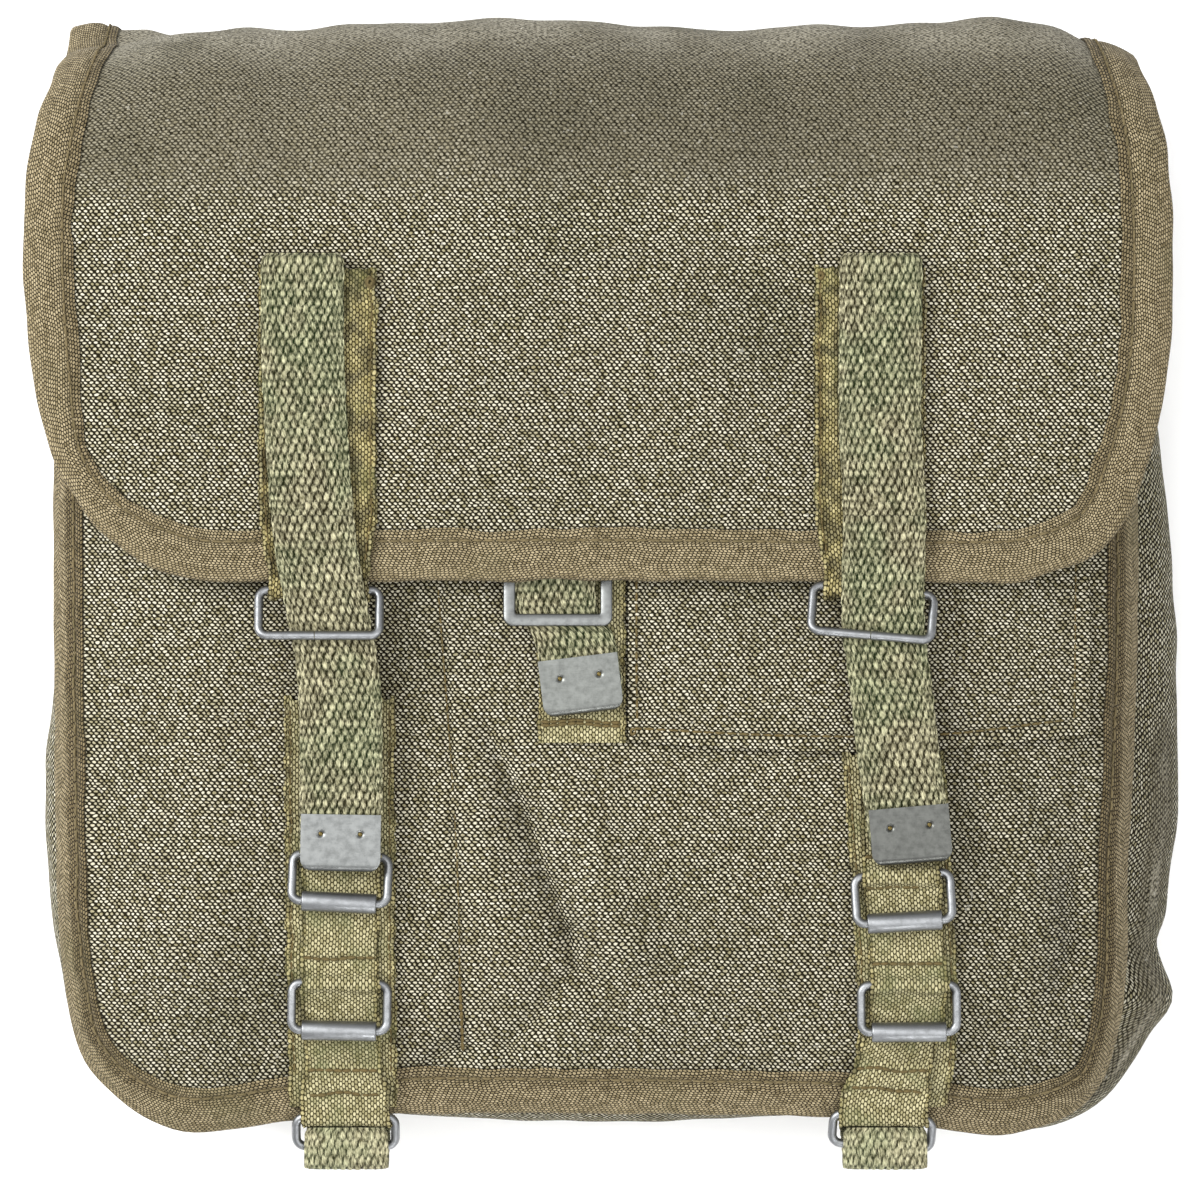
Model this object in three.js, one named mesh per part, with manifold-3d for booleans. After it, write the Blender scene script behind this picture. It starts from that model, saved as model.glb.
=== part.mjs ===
// Military shoulder bag: canvas body with bound seams, a flap over a top roll, webbing straps, wire buckles.
// Millimetres. The bag lies on its back: +X is the right of its front, +Y its top, +Z where its front faces.

import * as THREE from 'three';
import ManifoldLibrary from 'manifold-3d';

const { clamp, degToRad, lerp, smoothstep } = THREE.MathUtils;

// Thickness of each material, and the clearances between pieces that touch and where a band bends.
const CANVAS = 1.6;
const TAPE = 1.2;
const WEBBING = 1.8;
const WIRE = 2.4;
const GAP = 0.3;
const SLACK = 0.1;

// Front panel: height of its flat middle, and how it falls away to the sides and the bottom.
const PANEL_Z = 78;
const PANEL_FACE = PANEL_Z + CANVAS / 2;
const PANEL_LEFT = -146.6;
const PANEL_RIGHT = 143.5;
const PANEL_BOTTOM = -140;
const SIDE_DROP = 14;
const SIDE_REACH = 48;
const BOTTOM_DROP = 16;
const BOTTOM_REACH = 70;
const MOUTH_Y = 99;

// Seam allowance of the bound edges: wide where it lies flat, narrow where it turns down at the sides.
const FLAT_SEAM = 11;
const TURNED_SEAM = 7.5;
const TURNED_DIP = 6.5;
const BINDING_SHARE = 0.96;

// Back panel: a little smaller than the front, flat on the ground, with its bound edge just off the ground.
const BACK_SHARE = 0.975;
const BACK_SEAM = 12;
const BACK_RAMP = 8;
const BACK_EDGE_RISE = 2;

// Flap: lower edge, roll over the top of the bag, and the lap to its seam on the back.
const FLAP_EDGE_Y = 4.6;
const FLAP_EDGE_Z = 87;
const FLAP_LEFT = -153;
const FLAP_RIGHT = 152.5;
const FLAP_SEAM = 12;
const FLAP_DROOP = 5;
const FLAP_DROOP_REACH = 45;
const ROLL_Y = 108;
const ROLL_Z = 90;
const ROLL_REACH = 48.5;
const ROLL_MID_Z = (ROLL_Z + CANVAS / 2) / 2;
const ROLL_HALF_DEPTH = ROLL_MID_Z - CANVAS / 2;
const ROLL_END_FALL = 10;
const FRONT_RUN = ROLL_Y - FLAP_EDGE_Y;
const ROLL_RUN = (Math.PI * (ROLL_REACH + ROLL_HALF_DEPTH)) / 2;
const BACK_LAP = ROLL_Y - MOUTH_Y - GAP;
const BACK_CLIMB = { from: 112, to: 126 };
const ROLL_END = { left: 112, right: 116, tip: 150 };
const EAR_TURN = { from: 1.5, to: 2.1 };
const FLAP_RUN = FRONT_RUN + ROLL_RUN + BACK_LAP;

// Edge of the front panel, down its left side, along the bottom and up its right side.
const FRONT_RIM = [
  { x: -146.6, y: MOUTH_Y },
  { x: -147.2, y: 25 },
  { x: -146.6, y: -56 },
  { x: -145, y: -100 },
  { x: -138.2, y: -128 },
  { x: -117, y: -143.8 },
  { x: -86, y: -141.8 },
  { x: -50, y: -139.3 },
  { x: 20, y: -139.7 },
  { x: 72, y: -140.8 },
  { x: 114, y: -144.8 },
  { x: 133, y: -136.5 },
  { x: 140.5, y: -116 },
  { x: 142.3, y: -70 },
  { x: 144.6, y: -20 },
  { x: 144.4, y: MOUTH_Y },
];

// Edge of the flap: x across it, run measured along the cloth from its lower edge over the roll to the back.
const FLAP_RIM = [
  { x: -140, run: FLAP_RUN },
  { x: -143.5, run: 200 },
  { x: -145.5, run: 162 },
  { x: -150, run: 131 },
  { x: -153.2, run: 106 },
  { x: -153.2, run: 76 },
  { x: -151, run: 54 },
  { x: -144.6, run: 31 },
  { x: -131, run: 11.8 },
  { x: -112, run: 2.2 },
  { x: -86, run: 1.2 },
  { x: 0, run: 1.4 },
  { x: 95, run: 0.8 },
  { x: 116, run: 1.9 },
  { x: 135.5, run: 10.5 },
  { x: 145.8, run: 31 },
  { x: 151.2, run: 56 },
  { x: 152.6, run: 80 },
  { x: 152, run: 106 },
  { x: 149.5, run: 131 },
  { x: 145.5, run: 155 },
  { x: 142, run: 200 },
  { x: 139, run: FLAP_RUN },
];

// Section of the gusset from the back seam to the front seam: share of its bulge and share of its depth.
const GUSSET_SECTION = [
  { out: 0, up: 0 },
  { out: 0.22, up: 0.1 },
  { out: 0.62, up: 0.2 },
  { out: 0.95, up: 0.34 },
  { out: 1, up: 0.46 },
  { out: 0.86, up: 0.6 },
  { out: 0.48, up: 0.74 },
  { out: 0.14, up: 0.88 },
  { out: 0, up: 1 },
];

// How far the gusset bulges beyond its seams, by its share of the way from the left mouth to the right mouth.
const GUSSET_BULGE = [
  { along: 0, out: 15 },
  { along: 0.15, out: 18.5 },
  { along: 0.215, out: 23 },
  { along: 0.3, out: 20 },
  { along: 0.36, out: 19 },
  { along: 0.5, out: 24 },
  { along: 0.62, out: 19.5 },
  { along: 0.68, out: 23 },
  { along: 0.72, out: 29 },
  { along: 0.8, out: 32 },
  { along: 0.9, out: 27.5 },
  { along: 1, out: 21 },
];
const GUSSET_INSET = 5;
const GUSSET_FRONT_DROP = 1.5;
const GUSSET_BACK_LIFT = 1.05;

// Creases and dents of the front panel, each a valley along a short line.
const CREASES = [
  { fromX: -30, fromY: -37, toX: -20, toY: -56, depth: 1.5, spread: 6 },
  { fromX: -18, fromY: -61, toX: -5, toY: -96, depth: 3, spread: 8 },
  { fromX: -38, fromY: -122, toX: -50, toY: -131, depth: 1.2, spread: 5 },
  { fromX: 128, fromY: -78, toX: 128, toY: -98, depth: 3, spread: 8 },
];

// Pocket flap: its edges on the front panel, with the top edge hidden under the main flap.
const POCKET = { left: 7.6, right: 132.8, top: 22, lowLeft: -39.6, lowMiddle: -42.5, lowRight: -37.9 };
const POCKET_LIFT = 0.45;
const POCKET_COLUMNS = 11;
const POCKET_ROWS = 5;

// Levels of the stacked tapes on the front panel.
const BODY_LIFT = GAP + 2 * SLACK + TAPE / 2;
const BUCKLE_LIFT = BODY_LIFT + TAPE + GAP;
const BAR_LIFT = BODY_LIFT + TAPE / 2 + GAP + WIRE / 2;
const LOOP_RADIUS = WIRE / 2 + GAP + TAPE / 2;
const TUNNEL_FOOT = 5;
const BUCKLE_TAPE_WIDTH = 21.2;
const BOTTOM_BAR_Y = -142.2;
const BINDING_FACE = CANVAS / 2 + GAP + TAPE;

// Metal: strap tips, roller buckles and rings, all centre-line sizes of the wire.
const TIP = { width: 21.6, length: 15.6, thickness: 3.8, slot: 2.4, fold: 2.4, corner: 3, endGap: 2.6 };
const TIP_Z = PANEL_FACE + BAR_LIFT + LOOP_RADIUS + TAPE / 2 + GAP + TIP.thickness / 2;
const BUCKLE = { width: 25.9, height: 12.9, corner: 2.5 };
const ROLLER = { length: 20.2, radius: 2.7, bore: 1.55 };
const ROLLER_RISE = BUCKLE_LIFT + TAPE / 2 + GAP + ROLLER.radius - BAR_LIFT;
const FLAP_RING = { width: 32.6, height: 12.9, corner: 2.4 };
const FLAP_BAR_Y = 1.2;
const FLAP_BAR_Z = 88.2;
const FLAP_RING_RISE = 4.1;
const BOTTOM_RING = { width: 27, height: 8.6, corner: 2.6 };
const BOTTOM_RING_SINK = 2.6;
const BUTT_GAP = 0.2;
const WIRE_SIDES = 6;
const ROLLER_SIDES = 12;
const CORNER_STEPS = 3;

// Straps and tapes of each side: centre lines, widths and tilts by height on the bag.
const STRAP_WIDTH = 22.4;
const STRAP_TOP_Y = 91;
const SIDES = {
  left: {
    strapCentre: [
      { y: -76, x: -70.05 },
      { y: -23, x: -70.5 },
      { y: -4, x: -73.6 },
      { y: 16, x: -77 },
      { y: 64, x: -80.1 },
      { y: 92, x: -80.1 },
    ],
    tip: { x: -70.05, y: -67, tilt: -1 },
    flapTape: { centre: -76.2, width: 32, tilt: 0 },
    flapRing: { x: -75.8, seam: -1.2 },
    bodyTapeTop: -28.5,
    bodyTape: [
      { y: -142, x: -70, width: 29.6 },
      { y: -28, x: -70.6, width: 30 },
    ],
    buckleTape: [
      { y: -146, x: -69.3, tilt: 0 },
      { y: -139, x: -69.3, tilt: 0 },
      { y: -112, x: -70.5, tilt: -1 },
      { y: -98, x: -70.5, tilt: -1 },
      { y: -76, x: -70.05, tilt: -2.5 },
      { y: -50, x: -70.05, tilt: -2.5 },
    ],
    buckles: { upper: { y: -70.6 }, lower: { y: -105.4 } },
    bottomLoop: { x: -69.1, width: 23, seat: 0 },
  },
  right: {
    strapCentre: [
      { y: -76, x: 85 },
      { y: -56, x: 82.4 },
      { y: -42, x: 80.4 },
      { y: -24, x: 78.4 },
      { y: -8, x: 76.4 },
      { y: 24, x: 76.6 },
      { y: 45, x: 75.6 },
      { y: 92, x: 75.7 },
    ],
    tip: { x: 83.9, y: -64.9, tilt: 5 },
    flapTape: { centre: 72.8, width: 30, tilt: -5 },
    flapRing: { x: 74, seam: 0 },
    bodyTapeTop: -43.4,
    bodyTape: [
      { y: -142, x: 79.5, width: 28 },
      { y: -123, x: 83.3, width: 27.4 },
      { y: -90, x: 82.6, width: 27.4 },
      { y: -44, x: 79.4, width: 27.6 },
    ],
    buckleTape: [
      { y: -146, x: 77.3, tilt: -4 },
      { y: -139, x: 77.3, tilt: -4 },
      { y: -112, x: 83.4, tilt: 0.5 },
      { y: -98, x: 83.4, tilt: 0.5 },
      { y: -82, x: 82.1, tilt: 3 },
      { y: -50, x: 80.4, tilt: 3 },
    ],
    buckles: { upper: { y: -75.8 }, lower: { y: -105.8 } },
    bottomLoop: { x: 77.7, width: 23, seat: -2 },
  },
};
const BUCKLE_TAPE_TOP = -52;
const FLAP_TAPE_TOP = 88;
const FLAP_LOOP_WIDTH = 27.4;

// Steps down the tapes and straps, and angles round the bars, from the bag's top towards its front.
const FLAP_STEPS = 6;
const HANG_STEPS = 4;
const BODY_STEPS = 10;
const FLAP_LOOP_ANGLES = [90, 130, 170, 210, 250, 280];
const TUNNEL_ANGLES = [15, 50, 90, 130, 165];
const BOTTOM_BAR_ANGLES = [70, 110, 150, 190, 230, 268];
const BOTTOM_FOLD_ANGLES = [90, 130, 180, 230];

// Lengths over which a band climbs on and off a bound edge.
const CLIMB_START = 3;
const CLIMB = 2.4;
const EDGE_STAND = 2;
const LOOP_TAPER = { from: 5, to: 24 };

// Webbing loop at the bottom: past the ring's lower bar, round a fold, then down the gusset where it is sewn.
const BOTTOM_FOLD = 3;
const BOTTOM_LOOP_START = 1.6;
const BOTTOM_LOOP_TAIL = [
  { back: -1.2, down: 6, sewn: 0 },
  { back: 1.6, down: 15, sewn: 0.5 },
  { back: 4.6, down: 25, sewn: 1 },
  { back: 5.4, down: 31, sewn: 1 },
  { back: 4.8, down: 38, sewn: 1 },
];

// Middle fastening: tape on the panel, stamped frame, and the strap threaded through it.
const CENTRE_TAPE = { x: -4.9, width: 23.7, top: 26, low: -40.2 };
const CENTRE_FRAME = { x: -11.4, width: 29.6, height: 22, bar: 3.3, thickness: 1.5, topY: 13.4, corner: 2.5 };
const CENTRE_STRAP_WIDTH = 22;
const CENTRE_TIP = { x: -5.2, y: -24.4, tilt: 7 };
const CENTRE_TURN = { tail: 2, ahead: 7, over: 2.4, behind: 5, under: 2, beforeTip: 1.5 };
const CENTRE_STRAP_CENTRE = [
  { y: -32, x: -4.2 },
  { y: -16, x: -6 },
  { y: -10, x: -8 },
  { y: -5.5, x: -11.4 },
  { y: 28, x: -11.4 },
];

// Colour, roughness and metalness of each material.
const FINISHES = {
  canvas: { color: 0x706b58, roughness: 0.95, metalness: 0 },
  binding: { color: 0x8c7a58, roughness: 0.9, metalness: 0 },
  webbing: { color: 0xa19e74, roughness: 0.92, metalness: 0 },
  tape: { color: 0x968c5a, roughness: 0.92, metalness: 0 },
  metal: { color: 0x96989b, roughness: 0.42, metalness: 0.9 },
};

const bag = new THREE.Group();

// Adds one named piece to a group.
function addPiece(name, geometry, finish, group = bag) {
  const mesh = new THREE.Mesh(geometry, new THREE.MeshStandardMaterial(FINISHES[finish]));
  mesh.name = name;
  group.add(mesh);
  return mesh;
}

// Reads one column of a table whose rows rise in another column, straight between the rows.
function readTable(rows, by, column, at) {
  const next = rows.findIndex((row) => row[by] > at);
  if (next === 0) {
    return rows[0][column];
  }
  if (next < 0) {
    return rows[rows.length - 1][column];
  }
  const low = rows[next - 1];
  const high = rows[next];
  return lerp(low[column], high[column], (at - low[by]) / (high[by] - low[by]));
}

// Falls smoothly from 1 at an edge to 0 where the share of the reach is 1.
function fall(share) {
  return (1 - Math.min(share, 1)) ** 2;
}

// Closed geometry from points and faces, with its faces turned outwards.
function solidFrom(points, faces) {
  const volume = faces.reduce((sum, [a, b, c]) => {
    const cross = new THREE.Vector3().crossVectors(points[b], points[c]);
    return sum + points[a].dot(cross);
  }, 0);
  const outward = volume > 0 ? faces : faces.map(([a, b, c]) => [a, c, b]);
  const geometry = new THREE.BufferGeometry();
  const places = points.flatMap((point) => point.toArray());
  geometry.setAttribute('position', new THREE.Float32BufferAttribute(places, 3));
  geometry.setIndex(outward.flat());
  geometry.computeVertexNormals();
  return geometry;
}

// Mean normal of the faces round each point of a sheet.
function sheetNormals(points, faces) {
  const normals = points.map(() => new THREE.Vector3());
  for (const face of faces) {
    const [a, b, c] = face.map((corner) => points[corner]);
    const normal = new THREE.Vector3().crossVectors(b.clone().sub(a), c.clone().sub(a));
    face.forEach((corner) => normals[corner].add(normal));
  }
  return normals.map((normal) => normal.normalize());
}

// Cloth wall: a sheet thickened to both sides, with a strip along each open edge.
function thicken({ points, faces, normals }, thickness) {
  const count = points.length;
  const front = points.map((point, i) => point.clone().addScaledVector(normals[i], thickness / 2));
  const back = points.map((point, i) => point.clone().addScaledVector(normals[i], -thickness / 2));
  const edgeKey = (from, to) => from * count + to;
  const edges = faces.flatMap(([a, b, c]) => [[a, b], [b, c], [c, a]]);
  const known = new Set(edges.map(([from, to]) => edgeKey(from, to)));
  const open = edges.filter(([from, to]) => !known.has(edgeKey(to, from)));
  const walls = open.flatMap(([from, to]) => [
    [to, from, from + count],
    [to, from + count, to + count],
  ]);
  const backFaces = faces.map(([a, b, c]) => [a + count, c + count, b + count]);
  return solidFrom([...front, ...back], [...faces, ...backFaces, ...walls]);
}

// Grid of rows and columns of points, as one sheet.
function gridSheet(rows) {
  const columns = rows[0].length;
  const faces = [];
  for (let i = 0; i + 1 < rows.length; i += 1) {
    for (let j = 0; j + 1 < columns; j += 1) {
      const corner = i * columns + j;
      const opposite = corner + columns + 1;
      faces.push([corner, corner + columns, opposite], [corner, opposite, corner + 1]);
    }
  }
  const points = rows.flat();
  return { points, faces, normals: sheetNormals(points, faces) };
}

// Smooth curve through the rows of a rim table.
function rimCurve(rows, upColumn) {
  const points = rows.map((row) => new THREE.Vector3(row.x, row[upColumn], 0));
  return new THREE.CatmullRomCurve3(points, false, 'centripetal');
}

// Point and outward direction at one step along a rim, with the level and point where it meets the spine.
function rimStep(rim, spine, step) {
  const point = rim.getPointAt(step / spine.steps);
  const tangent = rim.getTangentAt(step / spine.steps);
  const outward = new THREE.Vector3(tangent.y, -tangent.x, 0);
  const level = Math.min(step, spine.steps - step, spine.sideSteps);
  const middle = new THREE.Vector3(0, lerp(spine.top, spine.low, level / spine.sideSteps), 0);
  return { point, outward, level, middle };
}

// Flat point a set distance in from the rim, square to it.
function inFromRim({ point, outward }, distance) {
  return point.clone().addScaledVector(outward, -distance);
}

// Sheet with a rim down its left side, along its bottom and up its right side, and an open top edge.
// Rings of points run in from the rim at the given insets, then evenly to a spine up the middle.
function rimmedSheet(rim, spine, rings, insetsOf, place) {
  const points = [];
  const faces = [];
  const columns = spine.steps + 1;
  const steps = Array.from({ length: columns }, (_, i) => rimStep(rim, spine, i));
  const flats = steps.map((step) => {
    const insets = insetsOf(step);
    const inner = inFromRim(step, insets[insets.length - 1]);
    const even = rings - insets.length + 1;
    const more = Array.from({ length: even - 1 }, (_, j) => inner.clone().lerp(step.middle, (j + 1) / even));
    return [...insets.map((inset) => inFromRim(step, inset)), ...more];
  });
  for (let ring = 0; ring < rings; ring += 1) {
    steps.forEach((step, i) => points.push(place(flats[i][ring], ring, step)));
  }
  for (let level = 0; level <= spine.sideSteps; level += 1) {
    points.push(place(steps[level].middle, rings, steps[level]));
  }
  const pointAt = (i, ring) => (ring < rings ? ring * columns + i : rings * columns + steps[i].level);
  for (let i = 0; i < spine.steps; i += 1) {
    for (let ring = 0; ring < rings; ring += 1) {
      const [a, b] = [pointAt(i, ring), pointAt(i + 1, ring)];
      const [c, d] = [pointAt(i + 1, ring + 1), pointAt(i, ring + 1)];
      faces.push([a, b, c]);
      if (c !== d) {
        faces.push([a, c, d]);
      }
    }
  }
  return { points, faces, normals: sheetNormals(points, faces), columns };
}

// Sweeps closed sections of equal count into one solid, with end caps given as quads of section points.
// The sides named in crossed are split along their other diagonal.
function sweep(sections, capQuads, crossed = []) {
  const count = sections[0].length;
  const faces = [];
  for (let i = 0; i + 1 < sections.length; i += 1) {
    for (let j = 0; j < count; j += 1) {
      const a = i * count + j;
      const b = i * count + ((j + 1) % count);
      if (crossed.includes(j)) {
        faces.push([a, b, a + count], [b, b + count, a + count]);
      } else {
        faces.push([a, b, b + count], [a, b + count, a + count]);
      }
    }
  }
  const last = (sections.length - 1) * count;
  for (const [a, b, c, d] of capQuads) {
    faces.push([a, c, b], [a, d, c]);
    faces.push([last + a, last + b, last + c], [last + a, last + c, last + d]);
  }
  return solidFrom(sections.flat(), faces);
}

// Tape folded over the rim of a sheet: a U section clear of both faces of the cloth.
function binding(sheet, coverShare) {
  const near = CANVAS / 2 + GAP;
  const far = near + TAPE;
  const sections = [];
  for (let i = 0; i < sheet.columns; i += 1) {
    const rim = sheet.points[i];
    const rimNormal = sheet.normals[i];
    const ring = sheet.points[i + sheet.columns];
    const ringNormal = sheet.normals[i + sheet.columns];
    const inner = rim.clone().lerp(ring, coverShare);
    const outward = rim.clone().sub(ring).normalize();
    const atInner = (height) => inner.clone().addScaledVector(ringNormal, height);
    const atRim = (height, out) =>
      rim.clone().addScaledVector(rimNormal, height).addScaledVector(outward, out);
    sections.push([
      atInner(far),
      atRim(far, GAP + TAPE),
      atRim(-far, GAP + TAPE),
      atInner(-far),
      atInner(-near),
      atRim(-near, GAP),
      atRim(near, GAP),
      atInner(near),
    ]);
  }
  const underside = 4;
  return sweep(sections, [[0, 1, 6, 7], [1, 2, 5, 6], [2, 3, 4, 5]], [underside]);
}

// Flat band that follows a path of y and z, centred, tilted and sized by height, and lowered by a ground.
function band(path, thickness, shapeAt, groundAt = () => 0) {
  const sections = path.map((here, i) => {
    const before = path[Math.max(i - 1, 0)];
    const after = path[Math.min(i + 1, path.length - 1)];
    const along = new THREE.Vector2(after.y - before.y, after.z - before.z).normalize();
    const { x, width, tilt } = shapeAt(here.y);
    const corner = (side, face) => {
      const across = (side * width) / 2;
      const skew = across * Math.tan(degToRad(tilt));
      const y = here.y + skew - (along.y * face * thickness) / 2;
      const z = here.z + (along.x * face * thickness) / 2;
      return new THREE.Vector3(x + across, y, z + groundAt(x + across, here.y));
    };
    return [corner(-1, -1), corner(1, -1), corner(1, 1), corner(-1, 1)];
  });
  return sweep(sections, [[0, 1, 2, 3]]);
}

// Height of the front panel's canvas, without the turned seam at its edge.
function panelZ(x, y) {
  const side = Math.min(x - PANEL_LEFT, PANEL_RIGHT - x);
  const dips = CREASES.reduce((sum, crease) => {
    const from = new THREE.Vector2(crease.fromX, crease.fromY);
    const line = new THREE.Vector2(crease.toX, crease.toY).sub(from);
    const offset = new THREE.Vector2(x, y).sub(from);
    const share = clamp(offset.dot(line) / line.lengthSq(), 0, 1);
    const away = offset.addScaledVector(line, -share).length();
    return sum + crease.depth * Math.exp(-((away / crease.spread) ** 2));
  }, 0);
  const bottom = BOTTOM_DROP * fall((y - PANEL_BOTTOM) / BOTTOM_REACH);
  return PANEL_Z - SIDE_DROP * fall(side / SIDE_REACH) - bottom - dips;
}

// Height of the flap's canvas on the front of the bag, away from its drooping side edges.
function flapFrontZ(y) {
  return lerp(FLAP_EDGE_Z, ROLL_Z, (y - FLAP_EDGE_Y) / FRONT_RUN);
}

// Place in space of a flat point of the flap: up its front, round the roll and down the back.
function placeOnFlap({ x, y: run }) {
  const droop = FLAP_DROOP * fall(Math.min(x - FLAP_LEFT, FLAP_RIGHT - x) / FLAP_DROOP_REACH);
  const backRise = (BACK_EDGE_RISE + GAP) * smoothstep(Math.abs(x), BACK_CLIMB.from, BACK_CLIMB.to);
  if (run <= FRONT_RUN) {
    const y = FLAP_EDGE_Y + run;
    return new THREE.Vector3(x, y, flapFrontZ(y) - droop);
  }
  const turn = Math.min((run - FRONT_RUN) / ROLL_RUN, 1) * Math.PI;
  const earKept = smoothstep(turn, EAR_TURN.from, EAR_TURN.to);
  const leftFall = smoothstep(-x, ROLL_END.left, ROLL_END.tip) * (1 - earKept);
  const rightFall = smoothstep(x, ROLL_END.right, ROLL_END.tip);
  const reach = ROLL_REACH - ROLL_END_FALL * (leftFall + rightFall);
  const lap = Math.max(run - FRONT_RUN - ROLL_RUN, 0);
  const front = Math.max(Math.cos(turn), 0);
  const back = Math.max(-Math.cos(turn), 0);
  const z = ROLL_MID_Z + ROLL_HALF_DEPTH * Math.cos(turn) - droop * front + backRise * back;
  return new THREE.Vector3(x, ROLL_Y + reach * Math.sin(turn) - lap, z);
}

// How much of a rim step faces sideways, from 0 on the bottom edge to 1 on the side edges.
function sideShare({ outward }) {
  return outward.x ** 2;
}

// Front panel, back panel and gusset share the steps of their rims.
const bodySpine = { steps: 46, sideSteps: 13, top: MOUTH_Y, low: -85 };
const FRONT_RINGS = 8;
const BACK_RINGS = 4;
const frontRim = rimCurve(FRONT_RIM, 'y');
const backRows = FRONT_RIM.map(({ x, y }) => ({ x: x * BACK_SHARE, y: y < 0 ? y * BACK_SHARE : y }));
const backRim = rimCurve(backRows, 'y');
const frontSeam = (step) => lerp(FLAT_SEAM, TURNED_SEAM, sideShare(step));

function placeOnFront({ x, y }, ring, step) {
  const turned = ring === 0 ? TURNED_DIP * sideShare(step) : 0;
  return new THREE.Vector3(x, y, panelZ(x, y) - turned);
}

function backZ(inset) {
  return CANVAS / 2 + BACK_EDGE_RISE * (1 - clamp((inset - BACK_SEAM) / BACK_RAMP, 0, 1));
}

function placeOnBack({ x, y }, ring) {
  return new THREE.Vector3(x, y, ring < 2 ? backZ(0) : CANVAS / 2);
}

const frontInsets = (step) => [0, frontSeam(step)];
const frontSheet = rimmedSheet(frontRim, bodySpine, FRONT_RINGS, frontInsets, placeOnFront);
const backInsets = [0, BACK_SEAM, BACK_SEAM + BACK_RAMP];
const backSheet = rimmedSheet(backRim, bodySpine, BACK_RINGS, () => backInsets, placeOnBack);
addPiece('front_panel', thicken(frontSheet, CANVAS), 'canvas');
addPiece('back_panel', thicken(backSheet, CANVAS), 'canvas');
addPiece('front_binding', binding(frontSheet, BINDING_SHARE), 'binding');
addPiece('back_binding', binding(backSheet, BINDING_SHARE), 'binding');

// Gusset: from just inside the back seam, bulging outwards, to just inside the front seam.
function gussetRow(i) {
  const frontStep = rimStep(frontRim, bodySpine, i);
  const backStep = rimStep(backRim, bodySpine, i);
  const top = inFromRim(frontStep, frontSeam(frontStep) + GUSSET_INSET);
  const foot = inFromRim(backStep, BACK_SEAM + GUSSET_INSET);
  top.z = panelZ(top.x, top.y) - CANVAS / 2 - GUSSET_FRONT_DROP;
  foot.z = backZ(BACK_SEAM + GUSSET_INSET) + CANVAS / 2 + GUSSET_BACK_LIFT;
  const bulge = readTable(GUSSET_BULGE, 'along', 'out', i / bodySpine.steps);
  return GUSSET_SECTION.map(({ out, up }) =>
    foot.clone().lerp(top, up).addScaledVector(frontStep.outward, bulge * out));
}

const gussetRows = Array.from({ length: bodySpine.steps + 1 }, (_, i) => gussetRow(i));
addPiece('gusset', thicken(gridSheet(gussetRows), CANVAS), 'canvas');

// Flap and its binding.
const flapSpine = { steps: 54, sideSteps: 16, top: FLAP_RUN, low: 62 };
const FLAP_RINGS = 7;
const flapRim = rimCurve(FLAP_RIM, 'run');
const flapSheet = rimmedSheet(flapRim, flapSpine, FLAP_RINGS, () => [0, FLAP_SEAM], placeOnFlap);
addPiece('flap', thicken(flapSheet, CANVAS), 'canvas');
addPiece('flap_binding', binding(flapSheet, BINDING_SHARE), 'binding');

// Pocket flap laid on the front panel.
function pocketRow(down) {
  return Array.from({ length: POCKET_COLUMNS }, (_, i) => {
    const share = i / (POCKET_COLUMNS - 1);
    const ends = lerp(POCKET.lowLeft, POCKET.lowRight, share);
    const sag = (POCKET.lowMiddle - (POCKET.lowLeft + POCKET.lowRight) / 2) * Math.sin(Math.PI * share);
    const x = lerp(POCKET.left, POCKET.right, share);
    const y = lerp(POCKET.top, ends + sag, down);
    return new THREE.Vector3(x, y, panelZ(x, y) + CANVAS + POCKET_LIFT);
  });
}

const pocketRows = Array.from({ length: POCKET_ROWS }, (_, i) => pocketRow(i / (POCKET_ROWS - 1)));
addPiece('pocket_flap', thicken(gridSheet(pocketRows), CANVAS), 'canvas');

// Wire bent to a round-cornered rectangle, from a butt seam in its lower bar round to the same seam.
// The upper bar lies on the local X axis and the lower bar below it.
class WireLoop extends THREE.Curve {
  constructor({ width, height, corner }, seam) {
    super();
    const half = width / 2;
    const corners = [
      { x: half - corner, y: corner - height, from: -90 },
      { x: half - corner, y: -corner, from: 0 },
      { x: corner - half, y: -corner, from: 90 },
      { x: corner - half, y: corner - height, from: 180 },
    ];
    const bends = corners.flatMap(({ x, y, from }) =>
      Array.from({ length: CORNER_STEPS + 1 }, (_, i) => {
        const angle = degToRad(from + (90 * i) / CORNER_STEPS);
        return {
          point: new THREE.Vector3(x + corner * Math.cos(angle), y + corner * Math.sin(angle), 0),
          tangent: new THREE.Vector3(-Math.sin(angle), Math.cos(angle), 0),
        };
      }));
    const alongBar = new THREE.Vector3(1, 0, 0);
    const start = { point: new THREE.Vector3(seam + BUTT_GAP / 2, -height, 0), tangent: alongBar };
    const end = { point: new THREE.Vector3(seam - BUTT_GAP / 2, -height, 0), tangent: alongBar };
    this.samples = [start, ...bends, end];
  }

  get steps() {
    return this.samples.length - 1;
  }

  getPointAt(share) {
    return this.samples[Math.round(share * this.steps)].point.clone();
  }

  getTangentAt(share) {
    return this.samples[Math.round(share * this.steps)].tangent.clone();
  }
}

// Round wire along a loop.
function wireLoop(size, seam = 0) {
  const extrudePath = new WireLoop(size, seam);
  const section = new THREE.Shape(
    Array.from({ length: WIRE_SIDES }, (_, i) => {
      const angle = (2 * Math.PI * i) / WIRE_SIDES;
      return new THREE.Vector2(Math.cos(angle), Math.sin(angle)).multiplyScalar(WIRE / 2);
    }));
  return new THREE.ExtrudeGeometry(section, { steps: extrudePath.steps, extrudePath, bevelEnabled: false });
}

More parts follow.
